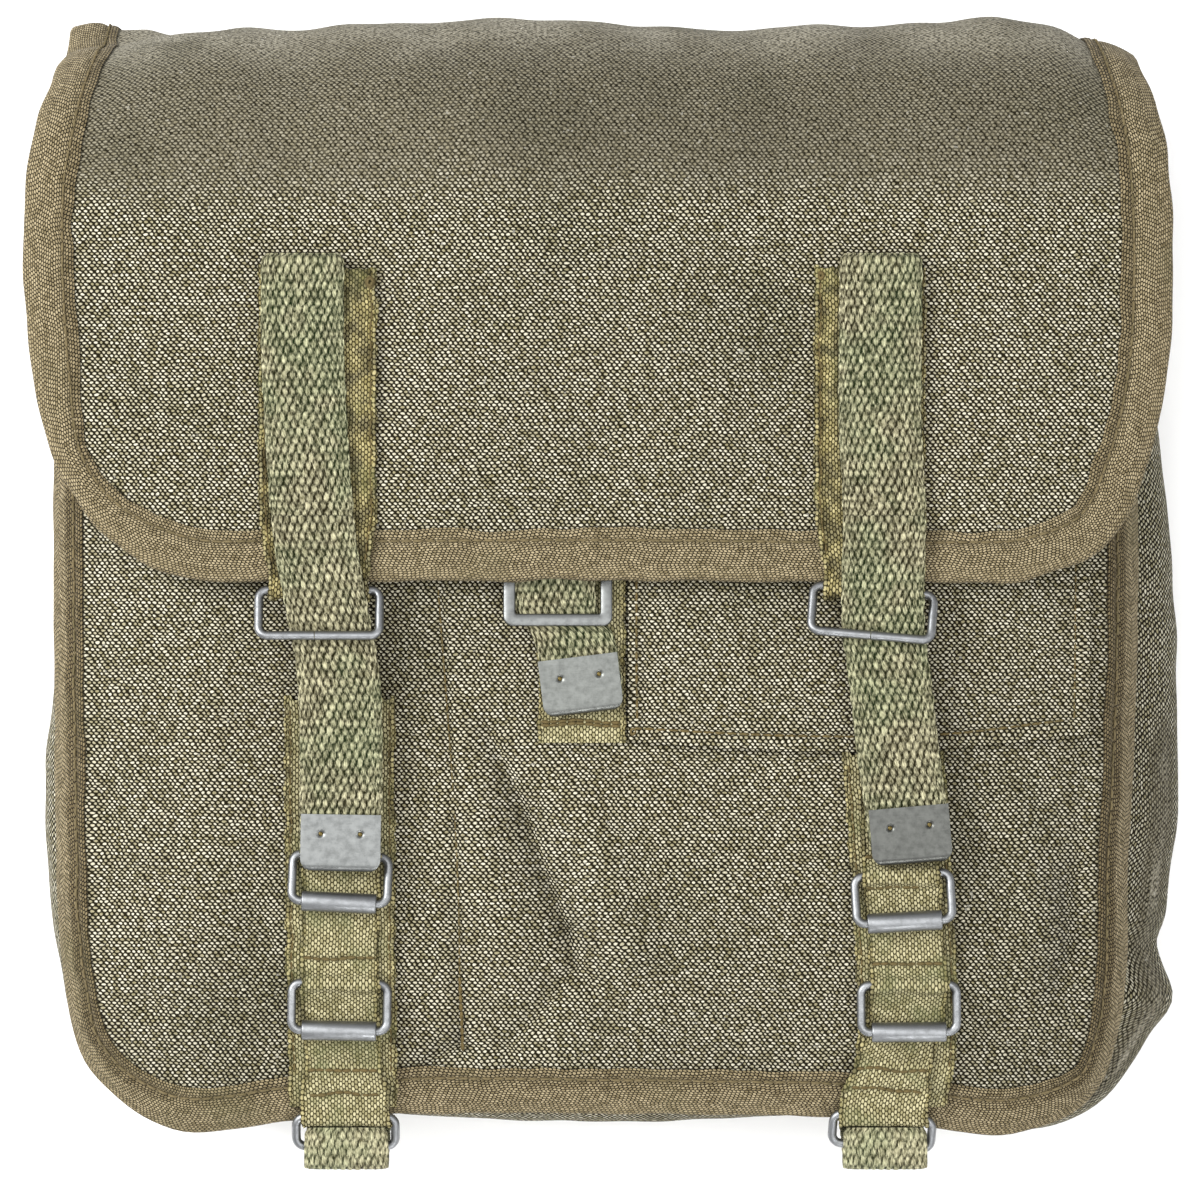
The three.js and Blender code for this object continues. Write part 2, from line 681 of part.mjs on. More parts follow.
// Group at the middle of a loop's upper bar, tilted in the panel's plane and pitched to lift its lower bar.
function barGroup(x, y, z, tilt, pitch) {
  const group = new THREE.Group();
  group.position.set(x, y, z);
  group.rotation.set(-pitch, 0, degToRad(tilt), 'ZXY');
  bag.add(group);
  return group;
}

// Open-ended roller tube along X.
function rollerTube() {
  const half = ROLLER.length / 2;
  const profile = [
    new THREE.Vector2(ROLLER.bore, -half),
    new THREE.Vector2(ROLLER.radius, -half),
    new THREE.Vector2(ROLLER.radius, half),
    new THREE.Vector2(ROLLER.bore, half),
    new THREE.Vector2(ROLLER.bore, -half),
  ];
  return new THREE.LatheGeometry(profile, ROLLER_SIDES).rotateZ(Math.PI / 2);
}

const manifold = await ManifoldLibrary();
manifold.setup();

// Solid of a closed geometry for cutting, with its shared points merged.
function toSolid(geometry) {
  const key = (point) => point.toArray().map((value) => Math.round(value * 1000)).join();
  const places = geometry.getAttribute('position');
  const order = geometry.index ? Array.from(geometry.index.array) : [...Array(places.count).keys()];
  const seen = new Map();
  const merged = [];
  const triVerts = order.map((i) => {
    const point = new THREE.Vector3().fromBufferAttribute(places, i);
    if (!seen.has(key(point))) {
      seen.set(key(point), seen.size);
      merged.push(...point.toArray());
    }
    return seen.get(key(point));
  });
  const mesh = new manifold.Mesh({
    numProp: 3,
    vertProperties: new Float32Array(merged),
    triVerts: new Uint32Array(triVerts),
  });
  return new manifold.Manifold(mesh);
}

// One closed geometry cut out of another.
function cut(geometry, tool) {
  const mesh = toSolid(geometry).subtract(toSolid(tool)).getMesh();
  const result = new THREE.BufferGeometry();
  result.setAttribute('position', new THREE.BufferAttribute(mesh.vertProperties, 3));
  result.setIndex(new THREE.BufferAttribute(mesh.triVerts, 1));
  result.computeVertexNormals();
  return result;
}

// Metal strap tip: a plate with two round lower corners, folded over the strap end that lies in its slot.
function tipPlate() {
  const { width, length, thickness, slot, fold, corner } = TIP;
  const outline = new THREE.Shape();
  outline.moveTo(-width / 2, length / 2);
  outline.lineTo(-width / 2, corner - length / 2);
  outline.absarc(corner - width / 2, corner - length / 2, corner, Math.PI, 1.5 * Math.PI);
  outline.absarc(width / 2 - corner, corner - length / 2, corner, 1.5 * Math.PI, 2 * Math.PI);
  outline.lineTo(width / 2, length / 2);
  const depth = { depth: thickness, bevelEnabled: false, curveSegments: CORNER_STEPS + 1 };
  const plate = new THREE.ExtrudeGeometry(outline, depth);
  plate.translate(0, 0, -thickness / 2);
  const pocket = new THREE.BoxGeometry(2 * width, length, slot);
  pocket.translate(0, fold, 0);
  return cut(plate, pocket);
}

function addTip(name, x, y, z, tilt) {
  const tip = addPiece(name, tipPlate(), 'metal');
  tip.position.set(x, y, z);
  tip.rotation.z = degToRad(tilt);
}

// Arc of a tape's centre line round a bar, by angles from +Y towards +Z.
function arcRoundBar(y, z, angles) {
  return angles.map((angle) => ({
    y: y + LOOP_RADIUS * Math.cos(degToRad(angle)),
    z: z + LOOP_RADIUS * Math.sin(degToRad(angle)),
  }));
}

// Evenly spaced places from one height on the bag down to another.
function levels(from, to, count) {
  return Array.from({ length: count }, (_, i) => lerp(from, to, i / (count - 1)));
}

// Strap, flap tape and flap ring of one side.
function addFlapFastening(side, { strapCentre, tip, flapTape, flapRing }) {
  const climbY = FLAP_EDGE_Y + FLAP_SEAM + CLIMB_START;
  const tapeLift = CANVAS / 2 + GAP + TAPE / 2;
  const overBinding = BINDING_FACE + GAP + TAPE / 2 + SLACK;
  const tapePath = [
    ...levels(FLAP_TAPE_TOP, climbY, FLAP_STEPS).map((y) => ({ y, z: flapFrontZ(y) + tapeLift })),
    ...[climbY - CLIMB, FLAP_EDGE_Y + EDGE_STAND].map((y) => ({ y, z: flapFrontZ(y) + overBinding })),
    ...arcRoundBar(FLAP_BAR_Y, FLAP_BAR_Z, FLAP_LOOP_ANGLES),
  ];
  const tapeShape = (y) => {
    const onLoop = 1 - smoothstep(y, LOOP_TAPER.from, LOOP_TAPER.to);
    return {
      x: lerp(flapTape.centre, flapRing.x, onLoop),
      width: lerp(flapTape.width, FLAP_LOOP_WIDTH, onLoop),
      tilt: flapTape.tilt * onLoop,
    };
  };
  addPiece(`flap_tape_${side}`, band(tapePath, TAPE, tapeShape), 'tape');

  const pitch = Math.asin(FLAP_RING_RISE / FLAP_RING.height);
  const ring = barGroup(flapRing.x, FLAP_BAR_Y, FLAP_BAR_Z, flapTape.tilt, pitch);
  addPiece(`flap_ring_${side}`, wireLoop(FLAP_RING, flapRing.seam), 'metal', ring);

  const overTape = (TAPE + WEBBING) / 2 + GAP + SLACK;
  const underBar = FLAP_BAR_Z + FLAP_RING_RISE - WIRE / 2 - 2 * GAP - WEBBING / 2;
  const lowBarY = FLAP_BAR_Y - FLAP_RING.height * Math.cos(pitch);
  const tipTop = tip.y + TIP.length / 2;
  const onTape = (y, lift) => ({ y, z: flapFrontZ(y) + lift + overTape });
  const hang = levels(lowBarY - 2 * CLIMB, tipTop + CLIMB_START, HANG_STEPS);
  const strapPath = [
    ...levels(STRAP_TOP_Y, climbY + EDGE_STAND, FLAP_STEPS).map((y) => onTape(y, tapeLift)),
    ...[climbY - CLIMB + EDGE_STAND, FLAP_BAR_Y].map((y) => onTape(y, overBinding)),
    { y: FLAP_BAR_Y - 2 * CLIMB, z: underBar + EDGE_STAND },
    { y: lowBarY, z: underBar },
    ...hang.map((y, i) => ({ y, z: lerp(underBar - GAP, TIP_Z, i / (hang.length - 1)) })),
    { y: tip.y - TIP.length / 2 + TIP.fold + TIP.endGap, z: TIP_Z },
  ];
  const strapShape = (y) => ({ x: readTable(strapCentre, 'y', 'x', y), width: STRAP_WIDTH, tilt: 0 });
  addPiece(`strap_${side}`, band(strapPath, WEBBING, strapShape), 'webbing');
  addTip(`strap_tip_${side}`, tip.x, tip.y, TIP_Z, tip.tilt);
}

// Body tape and buckle tape of one side, with a tunnel for each buckle's bar and a loop round the bottom bar.
function addBodyTapes(side, { bodyTapeTop, bodyTape, buckles }, onPanel, onBinding, bottomBar, buckleShape) {
  const climbY = PANEL_BOTTOM + FLAT_SEAM + CLIMB_START;
  const edge = [climbY - CLIMB, PANEL_BOTTOM + FLAT_SEAM / 2];
  const bodyPath = [
    ...levels(bodyTapeTop, climbY, BODY_STEPS).map((y) => onPanel(y, BODY_LIFT)),
    ...edge.map((y) => onBinding(y, BODY_LIFT + GAP)),
  ];
  const bodyShape = (y) => ({
    x: readTable(bodyTape, 'y', 'x', y),
    width: readTable(bodyTape, 'y', 'width', y),
    tilt: 0,
  });
  const cross = (x, y) => panelZ(x, y) - panelZ(bodyShape(y).x, y);
  addPiece(`body_tape_${side}`, band(bodyPath, TAPE, bodyShape, cross), 'tape');

  const flat = (from, to) => levels(from, to, 2).map((y) => onPanel(y, BUCKLE_LIFT));
  const tunnel = ({ y }) => [
    onPanel(y + TUNNEL_FOOT, BUCKLE_LIFT),
    ...arcRoundBar(y, onPanel(y, BAR_LIFT).z, TUNNEL_ANGLES),
    onPanel(y - TUNNEL_FOOT, BUCKLE_LIFT),
  ];
  const bucklePath = [
    ...flat(BUCKLE_TAPE_TOP, buckles.upper.y + 2 * TUNNEL_FOOT),
    ...tunnel(buckles.upper),
    ...flat(buckles.upper.y - 2 * TUNNEL_FOOT, buckles.lower.y + 2 * TUNNEL_FOOT),
    ...tunnel(buckles.lower),
    ...flat(buckles.lower.y - 2 * TUNNEL_FOOT, climbY),
    ...edge.map((y) => onBinding(y, BUCKLE_LIFT + 2 * GAP)),
    ...arcRoundBar(bottomBar.y, bottomBar.z, BOTTOM_BAR_ANGLES),
  ];
  addPiece(`buckle_tape_${side}`, band(bucklePath, TAPE, buckleShape), 'tape');
}

// Roller buckles of one side, each resting on the tape below its bar.
function addBuckles(side, { buckles }, onPanel, buckleShape) {
  for (const [place, { y }] of Object.entries(buckles)) {
    const { x, tilt } = buckleShape(y);
    const slope = Math.atan2(panelZ(x, y) - panelZ(x, y - BUCKLE.height), BUCKLE.height);
    const pitch = Math.asin(ROLLER_RISE / BUCKLE.height) - slope;
    const group = barGroup(x, y, onPanel(y, BAR_LIFT).z, tilt, pitch);
    addPiece(`buckle_frame_${side}_${place}`, wireLoop(BUCKLE), 'metal', group);
    const roller = addPiece(`roller_${side}_${place}`, rollerTube(), 'metal', group);
    roller.position.y = -BUCKLE.height;
  }
}

// Bottom ring of one side and the webbing loop that runs round its lower bar and down the gusset.
function addBottomRing(side, { bottomLoop }, bottomBar, { x, tilt }) {
  const sink = Math.asin(BOTTOM_RING_SINK / BOTTOM_RING.height);
  const ring = barGroup(x, bottomBar.y, bottomBar.z, tilt, -sink);
  addPiece(`bottom_ring_${side}`, wireLoop(BOTTOM_RING), 'metal', ring);

  const loopHalf = WIRE / 2 + GAP + WEBBING / 2 + SLACK;
  const lowBarY = bottomBar.y - BOTTOM_RING.height * Math.cos(sink);
  const lowBarZ = bottomBar.z - BOTTOM_RING_SINK;
  const foldY = lowBarY - BOTTOM_FOLD;
  const loopPath = [
    { y: bottomBar.y - LOOP_RADIUS - TAPE / 2 - BOTTOM_LOOP_START, z: lowBarZ + loopHalf },
    { y: lowBarY, z: lowBarZ + loopHalf },
    ...BOTTOM_FOLD_ANGLES.map((angle) => ({
      y: foldY + loopHalf * Math.cos(degToRad(angle)),
      z: lowBarZ + loopHalf * Math.sin(degToRad(angle)),
    })),
    ...BOTTOM_LOOP_TAIL.map(({ back, down, sewn }) => ({
      y: lowBarY + back + sewn * bottomLoop.seat,
      z: lowBarZ - down,
    })),
  ];
  const loopShape = () => ({ x: bottomLoop.x, width: bottomLoop.width, tilt: 0 });
  addPiece(`bottom_loop_${side}`, band(loopPath, WEBBING, loopShape), 'webbing');
}

// Tapes, roller buckles, bottom ring and bottom loop of one side.
function addBodyFastening(side, sizes) {
  const middle = sizes.bodyTape[0].x;
  const onPanel = (y, lift) => ({ y, z: panelZ(middle, y) + CANVAS / 2 + lift });
  const onBinding = (y, lift) => ({ y, z: panelZ(middle, y) + BINDING_FACE + lift });
  const bottomBar = onBinding(BOTTOM_BAR_Y, BAR_LIFT + GAP);
  const buckleShape = (y) => ({
    x: readTable(sizes.buckleTape, 'y', 'x', y),
    width: BUCKLE_TAPE_WIDTH,
    tilt: readTable(sizes.buckleTape, 'y', 'tilt', y),
  });
  addBodyTapes(side, sizes, onPanel, onBinding, bottomBar, buckleShape);
  addBuckles(side, sizes, onPanel, buckleShape);
  addBottomRing(side, sizes, bottomBar, buckleShape(BOTTOM_BAR_Y));
}

for (const [side, sizes] of Object.entries(SIDES)) {
  addFlapFastening(side, sizes);
  addBodyFastening(side, sizes);
}

// Middle fastening under the edge of the flap.
function addCentreFastening() {
  const { x, width, height, bar, thickness, topY, corner } = CENTRE_FRAME;
  const turn = CENTRE_TURN;
  const tapeTop = BODY_LIFT + TAPE / 2;
  const tapeLevels = levels(CENTRE_TAPE.top, CENTRE_TAPE.low, FLAP_STEPS);
  const tapePath = tapeLevels.map((y) => ({ y, z: PANEL_FACE + BODY_LIFT }));
  const tapeShape = () => ({ x: CENTRE_TAPE.x, width: CENTRE_TAPE.width, tilt: 0 });
  addPiece('centre_tape', band(tapePath, TAPE, tapeShape), 'tape');

  const topBarY = topY - bar / 2;
  const lowBarY = topY - height + bar / 2;
  const topBarLift = tapeTop + GAP + thickness / 2;
  const flatLift = tapeTop + GAP + WEBBING / 2;
  const lowBarLift = flatLift + WEBBING / 2 + GAP + thickness / 2 + 2 * SLACK;
  const overLift = topBarLift + thickness / 2 + GAP + WEBBING / 2 + 2 * SLACK;
  const tipLift = tapeTop + GAP + TIP.thickness / 2;
  const strapRows = [
    { y: CENTRE_TAPE.top + turn.tail, lift: flatLift },
    { y: topBarY + turn.ahead, lift: flatLift + GAP },
    { y: topBarY + turn.over, lift: overLift },
    { y: topBarY - turn.over, lift: overLift },
    { y: lowBarY + turn.behind, lift: flatLift + GAP },
    { y: lowBarY + turn.under, lift: flatLift },
    { y: lowBarY - turn.over, lift: flatLift },
    { y: CENTRE_TIP.y + TIP.length / 2 + turn.beforeTip, lift: tipLift },
    { y: CENTRE_TIP.y - TIP.length / 2 + TIP.fold + TIP.endGap, lift: tipLift },
  ];
  const strapPath = strapRows.map(({ y, lift }) => ({ y, z: PANEL_FACE + lift }));
  const strapShape = (y) => ({
    x: readTable(CENTRE_STRAP_CENTRE, 'y', 'x', y),
    width: CENTRE_STRAP_WIDTH,
    tilt: 0,
  });
  addPiece('centre_strap', band(strapPath, WEBBING, strapShape), 'webbing');
  addTip('centre_tip', CENTRE_TIP.x, CENTRE_TIP.y, PANEL_FACE + tipLift, CENTRE_TIP.tilt);

  const outline = new THREE.Shape();
  outline.moveTo(corner - width / 2, -height / 2);
  outline.absarc(width / 2 - corner, corner - height / 2, corner, -Math.PI / 2, 0);
  outline.absarc(width / 2 - corner, height / 2 - corner, corner, 0, Math.PI / 2);
  outline.absarc(corner - width / 2, height / 2 - corner, corner, Math.PI / 2, Math.PI);
  outline.absarc(corner - width / 2, corner - height / 2, corner, Math.PI, 1.5 * Math.PI);
  const opening = new THREE.Path();
  opening.moveTo(bar - width / 2, bar - height / 2);
  opening.lineTo(bar - width / 2, height / 2 - bar);
  opening.lineTo(width / 2 - bar, height / 2 - bar);
  opening.lineTo(width / 2 - bar, bar - height / 2);
  outline.holes.push(opening);
  const depth = { depth: thickness, bevelEnabled: false, curveSegments: CORNER_STEPS };
  const plate = new THREE.ExtrudeGeometry(outline, depth);
  plate.translate(0, 0, -thickness / 2);
  const frame = addPiece('centre_frame', plate, 'metal');
  frame.position.set(x, topY - height / 2, PANEL_FACE + (topBarLift + lowBarLift) / 2);
  frame.rotation.x = -Math.atan2(lowBarLift - topBarLift, topBarY - lowBarY);
}

addCentreFastening();

// The origin is the middle of the bag's footprint, on the ground.
const box = new THREE.Box3().setFromObject(bag);
bag.position.set(-(box.min.x + box.max.x) / 2, -(box.min.y + box.max.y) / 2, -box.min.z);
bag.updateMatrixWorld(true);

export default bag;
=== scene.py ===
"""Looks of a military shoulder bag: worn canvas, twill tape edges, thick webbing and wire roller buckles."""
import math

import bpy
import numpy as np
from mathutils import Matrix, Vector


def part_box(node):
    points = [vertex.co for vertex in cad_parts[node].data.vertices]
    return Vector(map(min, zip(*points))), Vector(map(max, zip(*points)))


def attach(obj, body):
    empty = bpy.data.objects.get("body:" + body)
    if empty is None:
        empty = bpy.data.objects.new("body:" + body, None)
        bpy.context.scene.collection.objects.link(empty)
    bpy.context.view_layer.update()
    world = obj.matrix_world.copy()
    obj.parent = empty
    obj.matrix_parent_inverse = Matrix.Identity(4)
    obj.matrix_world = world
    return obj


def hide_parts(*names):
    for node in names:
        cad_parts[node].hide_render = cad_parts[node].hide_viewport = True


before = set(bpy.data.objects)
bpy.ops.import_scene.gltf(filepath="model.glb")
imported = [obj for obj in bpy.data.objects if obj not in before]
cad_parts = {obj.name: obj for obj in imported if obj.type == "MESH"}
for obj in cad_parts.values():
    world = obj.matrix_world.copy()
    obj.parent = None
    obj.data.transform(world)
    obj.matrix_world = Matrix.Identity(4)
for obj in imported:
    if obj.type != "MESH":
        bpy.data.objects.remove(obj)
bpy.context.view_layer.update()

# Sizes are millimetres. Lamps, floor and the camera's end are metres.
# +X is the right of the bag's front, +Y its top and +Z where its front faces.
MM = 0.001
CANVAS = 1.6
TAPE = 1.2
WEBBING = 1.8
WIRE = 2.4
GAP = 0.3
SLACK = 0.1

# Camera: straight above the bag, so that its front fills the frame as in the photograph.
FRAME_WIDTH = 324
FRAME_Z = 88
CAMERA_DISTANCE = 2400
SENSOR = 36
CAMERA_END = 10

# Studio in metres and watts: each lamp's place, size and power, the point they face, floor and surround.
LAMPS = {
    "key": ((-1.2, 0.5, 1.2), 0.9, 43),
    "fill": ((1.1, -0.5, 1.4), 1.3, 13),
    "overhead": ((0.0, 0.0, 2.0), 1.8, 26),
    "low": ((0.2, -1.5, 0.9), 0.5, 9),
}
LAMP_AIM = (0, 0, 0.05)
FLOOR_REACH = 3
FLOOR_TONE = (0.95, 0.95, 0.95, 1)
SURROUND = 0.55

# Front panel: height of its flat middle, and how it falls away to the sides and the bottom.
PANEL_Z = 78
PANEL_FACE = PANEL_Z + CANVAS / 2
PANEL_LEFT = -146.6
PANEL_RIGHT = 143.5
PANEL_BOTTOM = -140
SIDE_DROP = 14
SIDE_REACH = 48
BOTTOM_DROP = 16
BOTTOM_REACH = 70
MOUTH_Y = 99
FLAT_SEAM = 11
TURNED_SEAM = 7.5
TURNED_DIP = 6.5
SEAM_DIP = 0.9
SEAM_DIP_INSET = 5
SEAM_DIP_SPREAD = 3.5
FOLDS_BEGIN = (7, 16)
FRONT_WEAR = 0.25
FRONT_WEAR_DOWN = (90, 140)
BINDING_SHARE = 0.96

# Back panel: a little smaller than the front, flat on the ground, its bound edge just off the ground.
BACK_SHARE = 0.975
BACK_SEAM = 12
BACK_RAMP = 8
BACK_EDGE_RISE = 2
BACK_GRID = (60, 72)
BACK_WEAR = 0.3

# Flap: lower edge, roll over the top of the bag, and the lap to its seam on the back.
FLAP_EDGE_Y = 4.6
FLAP_EDGE_Z = 87
FLAP_LEFT = -153
FLAP_RIGHT = 152.5
FLAP_SEAM = 12
FLAP_DROOP = 5
FLAP_DROOP_REACH = 45
ROLL_Y = 108
ROLL_Z = 90
ROLL_REACH = 48.5
ROLL_MID_Z = (ROLL_Z + CANVAS / 2) / 2
ROLL_HALF_DEPTH = ROLL_MID_Z - CANVAS / 2
FRONT_RUN = ROLL_Y - FLAP_EDGE_Y
ROLL_RUN = math.pi * (ROLL_REACH + ROLL_HALF_DEPTH) / 2
BACK_LAP = ROLL_Y - MOUTH_Y - GAP
FLAP_RUN = FRONT_RUN + ROLL_RUN + BACK_LAP

# Flap's dents: where they begin inside the rim and end at the back, the roll's own, and the straps' press.
DENTS_BEGIN = (10, 34)
DENTS_END = (0, 40)
ROLL_DENTS_BEGIN = (95, 150)
ROLL_DENTS_STRETCH = 0.4
PRESSED = {"run": 84, "tall": 16, "middles": (-78, 75), "wide": 20, "depth": 0.5}

# Flap's wear along its run: the weave fades on the roll, its fuzz darkened partly as painted shade, and the
# top of the roll is rubbed pale, partly as painted sheen.
ROLL_FADE_AND_SHADE = (88, 118)
ROLL_RUB_AND_SHEEN = 0.65
ROLL_RUB_AND_SHEEN_START = (122, 160)
ROLL_RUB_AND_SHEEN_END = (190, 220)

# Edge of the front panel (x, y), and of the flap (x, run along the cloth from its lower edge to the back).
FRONT_RIM = [(-146.6, MOUTH_Y), (-147.2, 25), (-146.6, -56), (-145, -100), (-138.2, -128), (-117, -143.8),
             (-86, -141.8), (-50, -139.3), (20, -139.7), (72, -140.8), (114, -144.8), (133, -136.5),
             (140.5, -116), (142.3, -70), (144.6, -20), (144.4, MOUTH_Y)]
FRONT_CORNERS = ((-130, -136), (131, -138))
FLAP_RIM = [(-140, FLAP_RUN), (-143.5, 200), (-145.5, 162), (-150, 131), (-153.2, 106), (-153.2, 76),
            (-151, 54), (-144.6, 31), (-131, 11.8), (-112, 2.2), (-86, 1.2), (0, 1.4), (95, 0.8), (116, 1.9),
            (135.5, 10.5), (145.8, 31), (151.2, 56), (152.6, 80), (152, 106), (149.5, 131), (145.5, 155),
            (142, 200), (139, FLAP_RUN)]
FLAP_CORNERS = ((-135, 16), (136, 11))
FRONT_RIM_POINTS = 560
BACK_RIM_POINTS = 560
FLAP_RIM_POINTS = 760
FLAP_EDGE_POINTS = 480
BACK_EDGE_POINTS = 260

# The flap's binding is narrower at this corner.
NARROW_CORNER = (-143, 27)
NARROW_SHARE = 0.4
NARROW_REACH = 22

# How far the roll stands above the bag's top, across the bag: it sags and swells, and falls off at its ends.
TOP_EDGE = [(-150, 37), (-132, 41.6), (-115, 45.4), (-100, 46.9), (-83, 46.5), (-69, 47.5), (-53, 48),
            (-28, 49.6), (0, 48.6), (20, 47.5), (41, 46.2), (57, 48), (77, 47.3), (103, 48.9), (110, 49.3),
            (124, 47.3), (135, 42), (150, 37)]

# The roll's left end reaches higher behind, as an ear, and the flap's back climbs over the edge at the sides.
EAR_REACH = 50
EAR_SIDE = (112, 126)
EAR_TURN = (1.5, 1.95)
BACK_CLIMB = (112, 126)

# Gusset: its section from back seam to front seam (out, up), and its bulge along the rim (share, out).
GUSSET_SECTION = [(0, 0), (0.22, 0.1), (0.62, 0.2), (0.95, 0.34), (1, 0.46), (0.86, 0.6), (0.48, 0.74),
                  (0.14, 0.88), (0, 1)]
GUSSET_BULGE = [(0, 15), (0.15, 18.5), (0.215, 23), (0.3, 20), (0.36, 19), (0.5, 24), (0.62, 19.5),
                (0.68, 23), (0.72, 29), (0.8, 32), (0.9, 27.5), (1, 21)]
GUSSET_STEPS = 340
GUSSET_SECTION_POINTS = 38
GUSSET_INSET = 5
GUSSET_FRONT_DROP = 1.5
GUSSET_BACK_LIFT = 1.05

# Puckers of the gusset's right side (y, size, half width), and its rubbed streak.
GUSSET_RIGHT = (100, 125)
GUSSET_PUCKERS = [(-111, 4.2, 6), (-97, -2.2, 5), (-60, 1.2, 14)]
STREAK = 1.7
STREAK_START = (0.66, 0.7)
STREAK_END = (0.16, 0.2)
STREAK_UP = 0.62
STREAK_SPREAD = 0.06

# Creases and dents of the front panel: from, to, depth and half width. A negative depth is a ridge.
CREASES = [((-30, -37), (-20, -56), 1.5, 6), ((-18, -61), (-5, -96), 3.0, 8),
           ((-38, -122), (-50, -131), 1.2, 5), ((128, -78), (128, -98), 3.0, 8)]
FINE_CREASES = [((-19, -62), (-9, -90), 3.6, 3.0), ((-6, -58), (8, -96), -2.4, 7),
                ((-8, -92), (-3, -104), 2.8, 3.2), ((-29, -38), (-20, -58), 2.4, 3.2),
                ((-34, -58), (-24, -100), -2.2, 7), ((-43, 0), (-39, -62), 1.2, 1.7),
                ((-39, -62), (-37.5, -126), 1.6, 2.0), ((-8, -104), (-24, -122), 2.2, 4.0),
                ((-38, -122), (-52, -131), 2.0, 2.8), ((127, -78), (127.5, -94), 3.4, 3.2),
                ((126.5, -99), (124, -108), 2.2, 3.2), ((112, -60), (122, -92), -2.2, 7),
                ((30, -70), (44, -118), -1.2, 10), ((-132, -50), (-122, -110), 1.8, 6),
                ((-108, -30), (-104, -96), -1.4, 8)]

# Unevenness: height, size of the bumps, and seed, which adds to the piece's own seed if it has one.
FRONT_BUMPS = [(0.35, 34, 11), (0.16, 12, 12)]
GUSSET_BUMPS = [(0.8, 70, 21)]
GUSSET_RIPPLES = [(0.25, 22, 22)]
GUSSET_RIPPLE_STRETCH = 0.3
FLAP_BUMPS = [(0.45, 46, 31), (0.2, 16, 32)]
ROLL_BUMPS = [(0.5, 30, 33)]
POCKET_BUMPS = [(0.12, 14, 41)]
BINDING_EDGE_SWAY = [(0.5, 24, 0), (0.3, 7, 1)]
BINDING_RIM_SWAY = [(0.35, 19, 4)]
BINDING_SWELL = [(0.32, 13, 2)]
BINDING_SWELL_ACROSS = 9
BINDING_PUCKER = [(0.15, 5, 3)]
BINDING_PUCKER_ACROSS = 4
WEB_COLUMN_DRIFT = [(0.08, 6, 1)]
WEB_ROW_DRIFT = [(0.14, 11, 2)]
WEB_EDGE_SWAY = [(0.14, 5, 7)]
TAPE_EDGE_SWAY = [(0.3, 9, 0)]
TAPE_EDGES_APART = 9
TAPE_PUCKER = [(0.14, 6, 1)]
TAPE_CRUSH = [(1.0, 7, 4)]
TAPE_CRUSH_STRETCH = (1.6, 0.5)
PLEAT_SWAY = [(0.35, 11, 2)]
CORD_SWAY = [(0.22, 5, 0)]
CORD_RISE = [(0.12, 4, 9)]
CORD_SHIFT = [(1.0, 12, 3)]
CORD_SIZES = [(0.2, 6, 5)]
WIRE_DENTS = [(0.02, 9, 3)]
TIP_DENTS = [(0.05, 7, 5)]
CROSS_ROW_SWAY = [(0.35, 9, 0)]
CENTRE_ROW_SWAY = [(0.3, 12, 4)]

# Pocket flap: its edges on the front panel.
POCKET = {"left": 7.6, "right": 132.8, "top": 22, "low_left": -39.6, "low_middle": -42.5, "low_right": -37.9}
POCKET_LIFT = 0.45
POCKET_HEM = 0.55
POCKET_HEM_INSET = (2.6, 4.4)
POCKET_GROOVE = {"depth": 0.3, "inset": 4.4, "spread": 1.0}
POCKET_SIZE = (125, 63)
POCKET_GRID = (64, 110)
POCKET_WEAR = 0.1

# Bindings: rows of points on the front, the rim and underneath, shares of the width, and the band of painted
# shade.
BINDING_ROWS = {"front": 18, "rim": 9, "back": 6}
BINDING_BEND = 0.04
BINDING_SEAM = 0.76
BINDING_GROOVE = (0.6, 0.09)
BINDING_PRESS = (0.9, 14)
BINDING_CROWN = (0.5, 0.68)
BINDING_THREAD_SINK = 0.35
BINDING_RUB = (0.5, 2.0)
BAND_FADE = 0.14
BAND_LEAST = 0.35
BINDINGS = {
    "flap": {"seed": 131, "stitch_seed": 1, "band": 0.66, "shade": 0.4},
    "front": {"seed": 141, "stitch_seed": 2, "band": 0.42, "shade": 1.0},
    "back": {"seed": 151, "stitch_seed": 3, "band": 0.66, "shade": 0.4},
}

# Heights of the stacked tapes on the front panel, and the loops of tape round the bars.
BODY_LIFT = GAP + 2 * SLACK + TAPE / 2
BUCKLE_LIFT = BODY_LIFT + TAPE + GAP
BAR_LIFT = BODY_LIFT + TAPE / 2 + GAP + WIRE / 2
LOOP_RADIUS = WIRE / 2 + GAP + TAPE / 2
TUNNEL_FOOT = 5
BUCKLE_TAPE_WIDTH = 21.2
BOTTOM_TAPE_WIDTH = 24.2
BOTTOM_BAR_Y = -142.2
BINDING_FACE = CANVAS / 2 + GAP + TAPE

# Metal: strap tips, roller buckles and rings, as centre-line sizes of the wire.
TIP = {"width": 21.6, "length": 15.6, "thickness": 3.8, "fold": 2.4, "corner": 3, "end_gap": 2.6}
TIP_Z = PANEL_FACE + BAR_LIFT + LOOP_RADIUS + TAPE / 2 + GAP + TIP["thickness"] / 2
TIP_SHEET = 0.7
TIP_HOLES = (-5.4, 5.3)
TIP_HOLE_Y = 2.3
TIP_HOLE = {"depth": 0.6, "radius": 0.85, "rim": 0.08, "rim_radius": 1.3, "rim_spread": 0.35}
TIP_PIN = [(-0.6, 0.62), (0.02, 0.62), (0.14, 0.48), (0.2, 0.2)]
TIP_PIN_SIDES = 12
TIP_BEND_EASE = 0.05
TIP_CORNER_EASE = 0.1
TIP_MOUTH_EASE = 0.2
TIP_EDGE_ROUND = 0.2
TIP_GRID = (84, 40)
WIRE_SEAM = 0.12
WIRE_POINTS = 150
WIRE_SIDES = 14
WIRE_CORNER_POINTS = 9
BUCKLE = {"width": 25.9, "height": 12.9, "corner": 2.5}
ROLLER = {"length": 20.2, "radius": 2.7, "bore": 1.55}
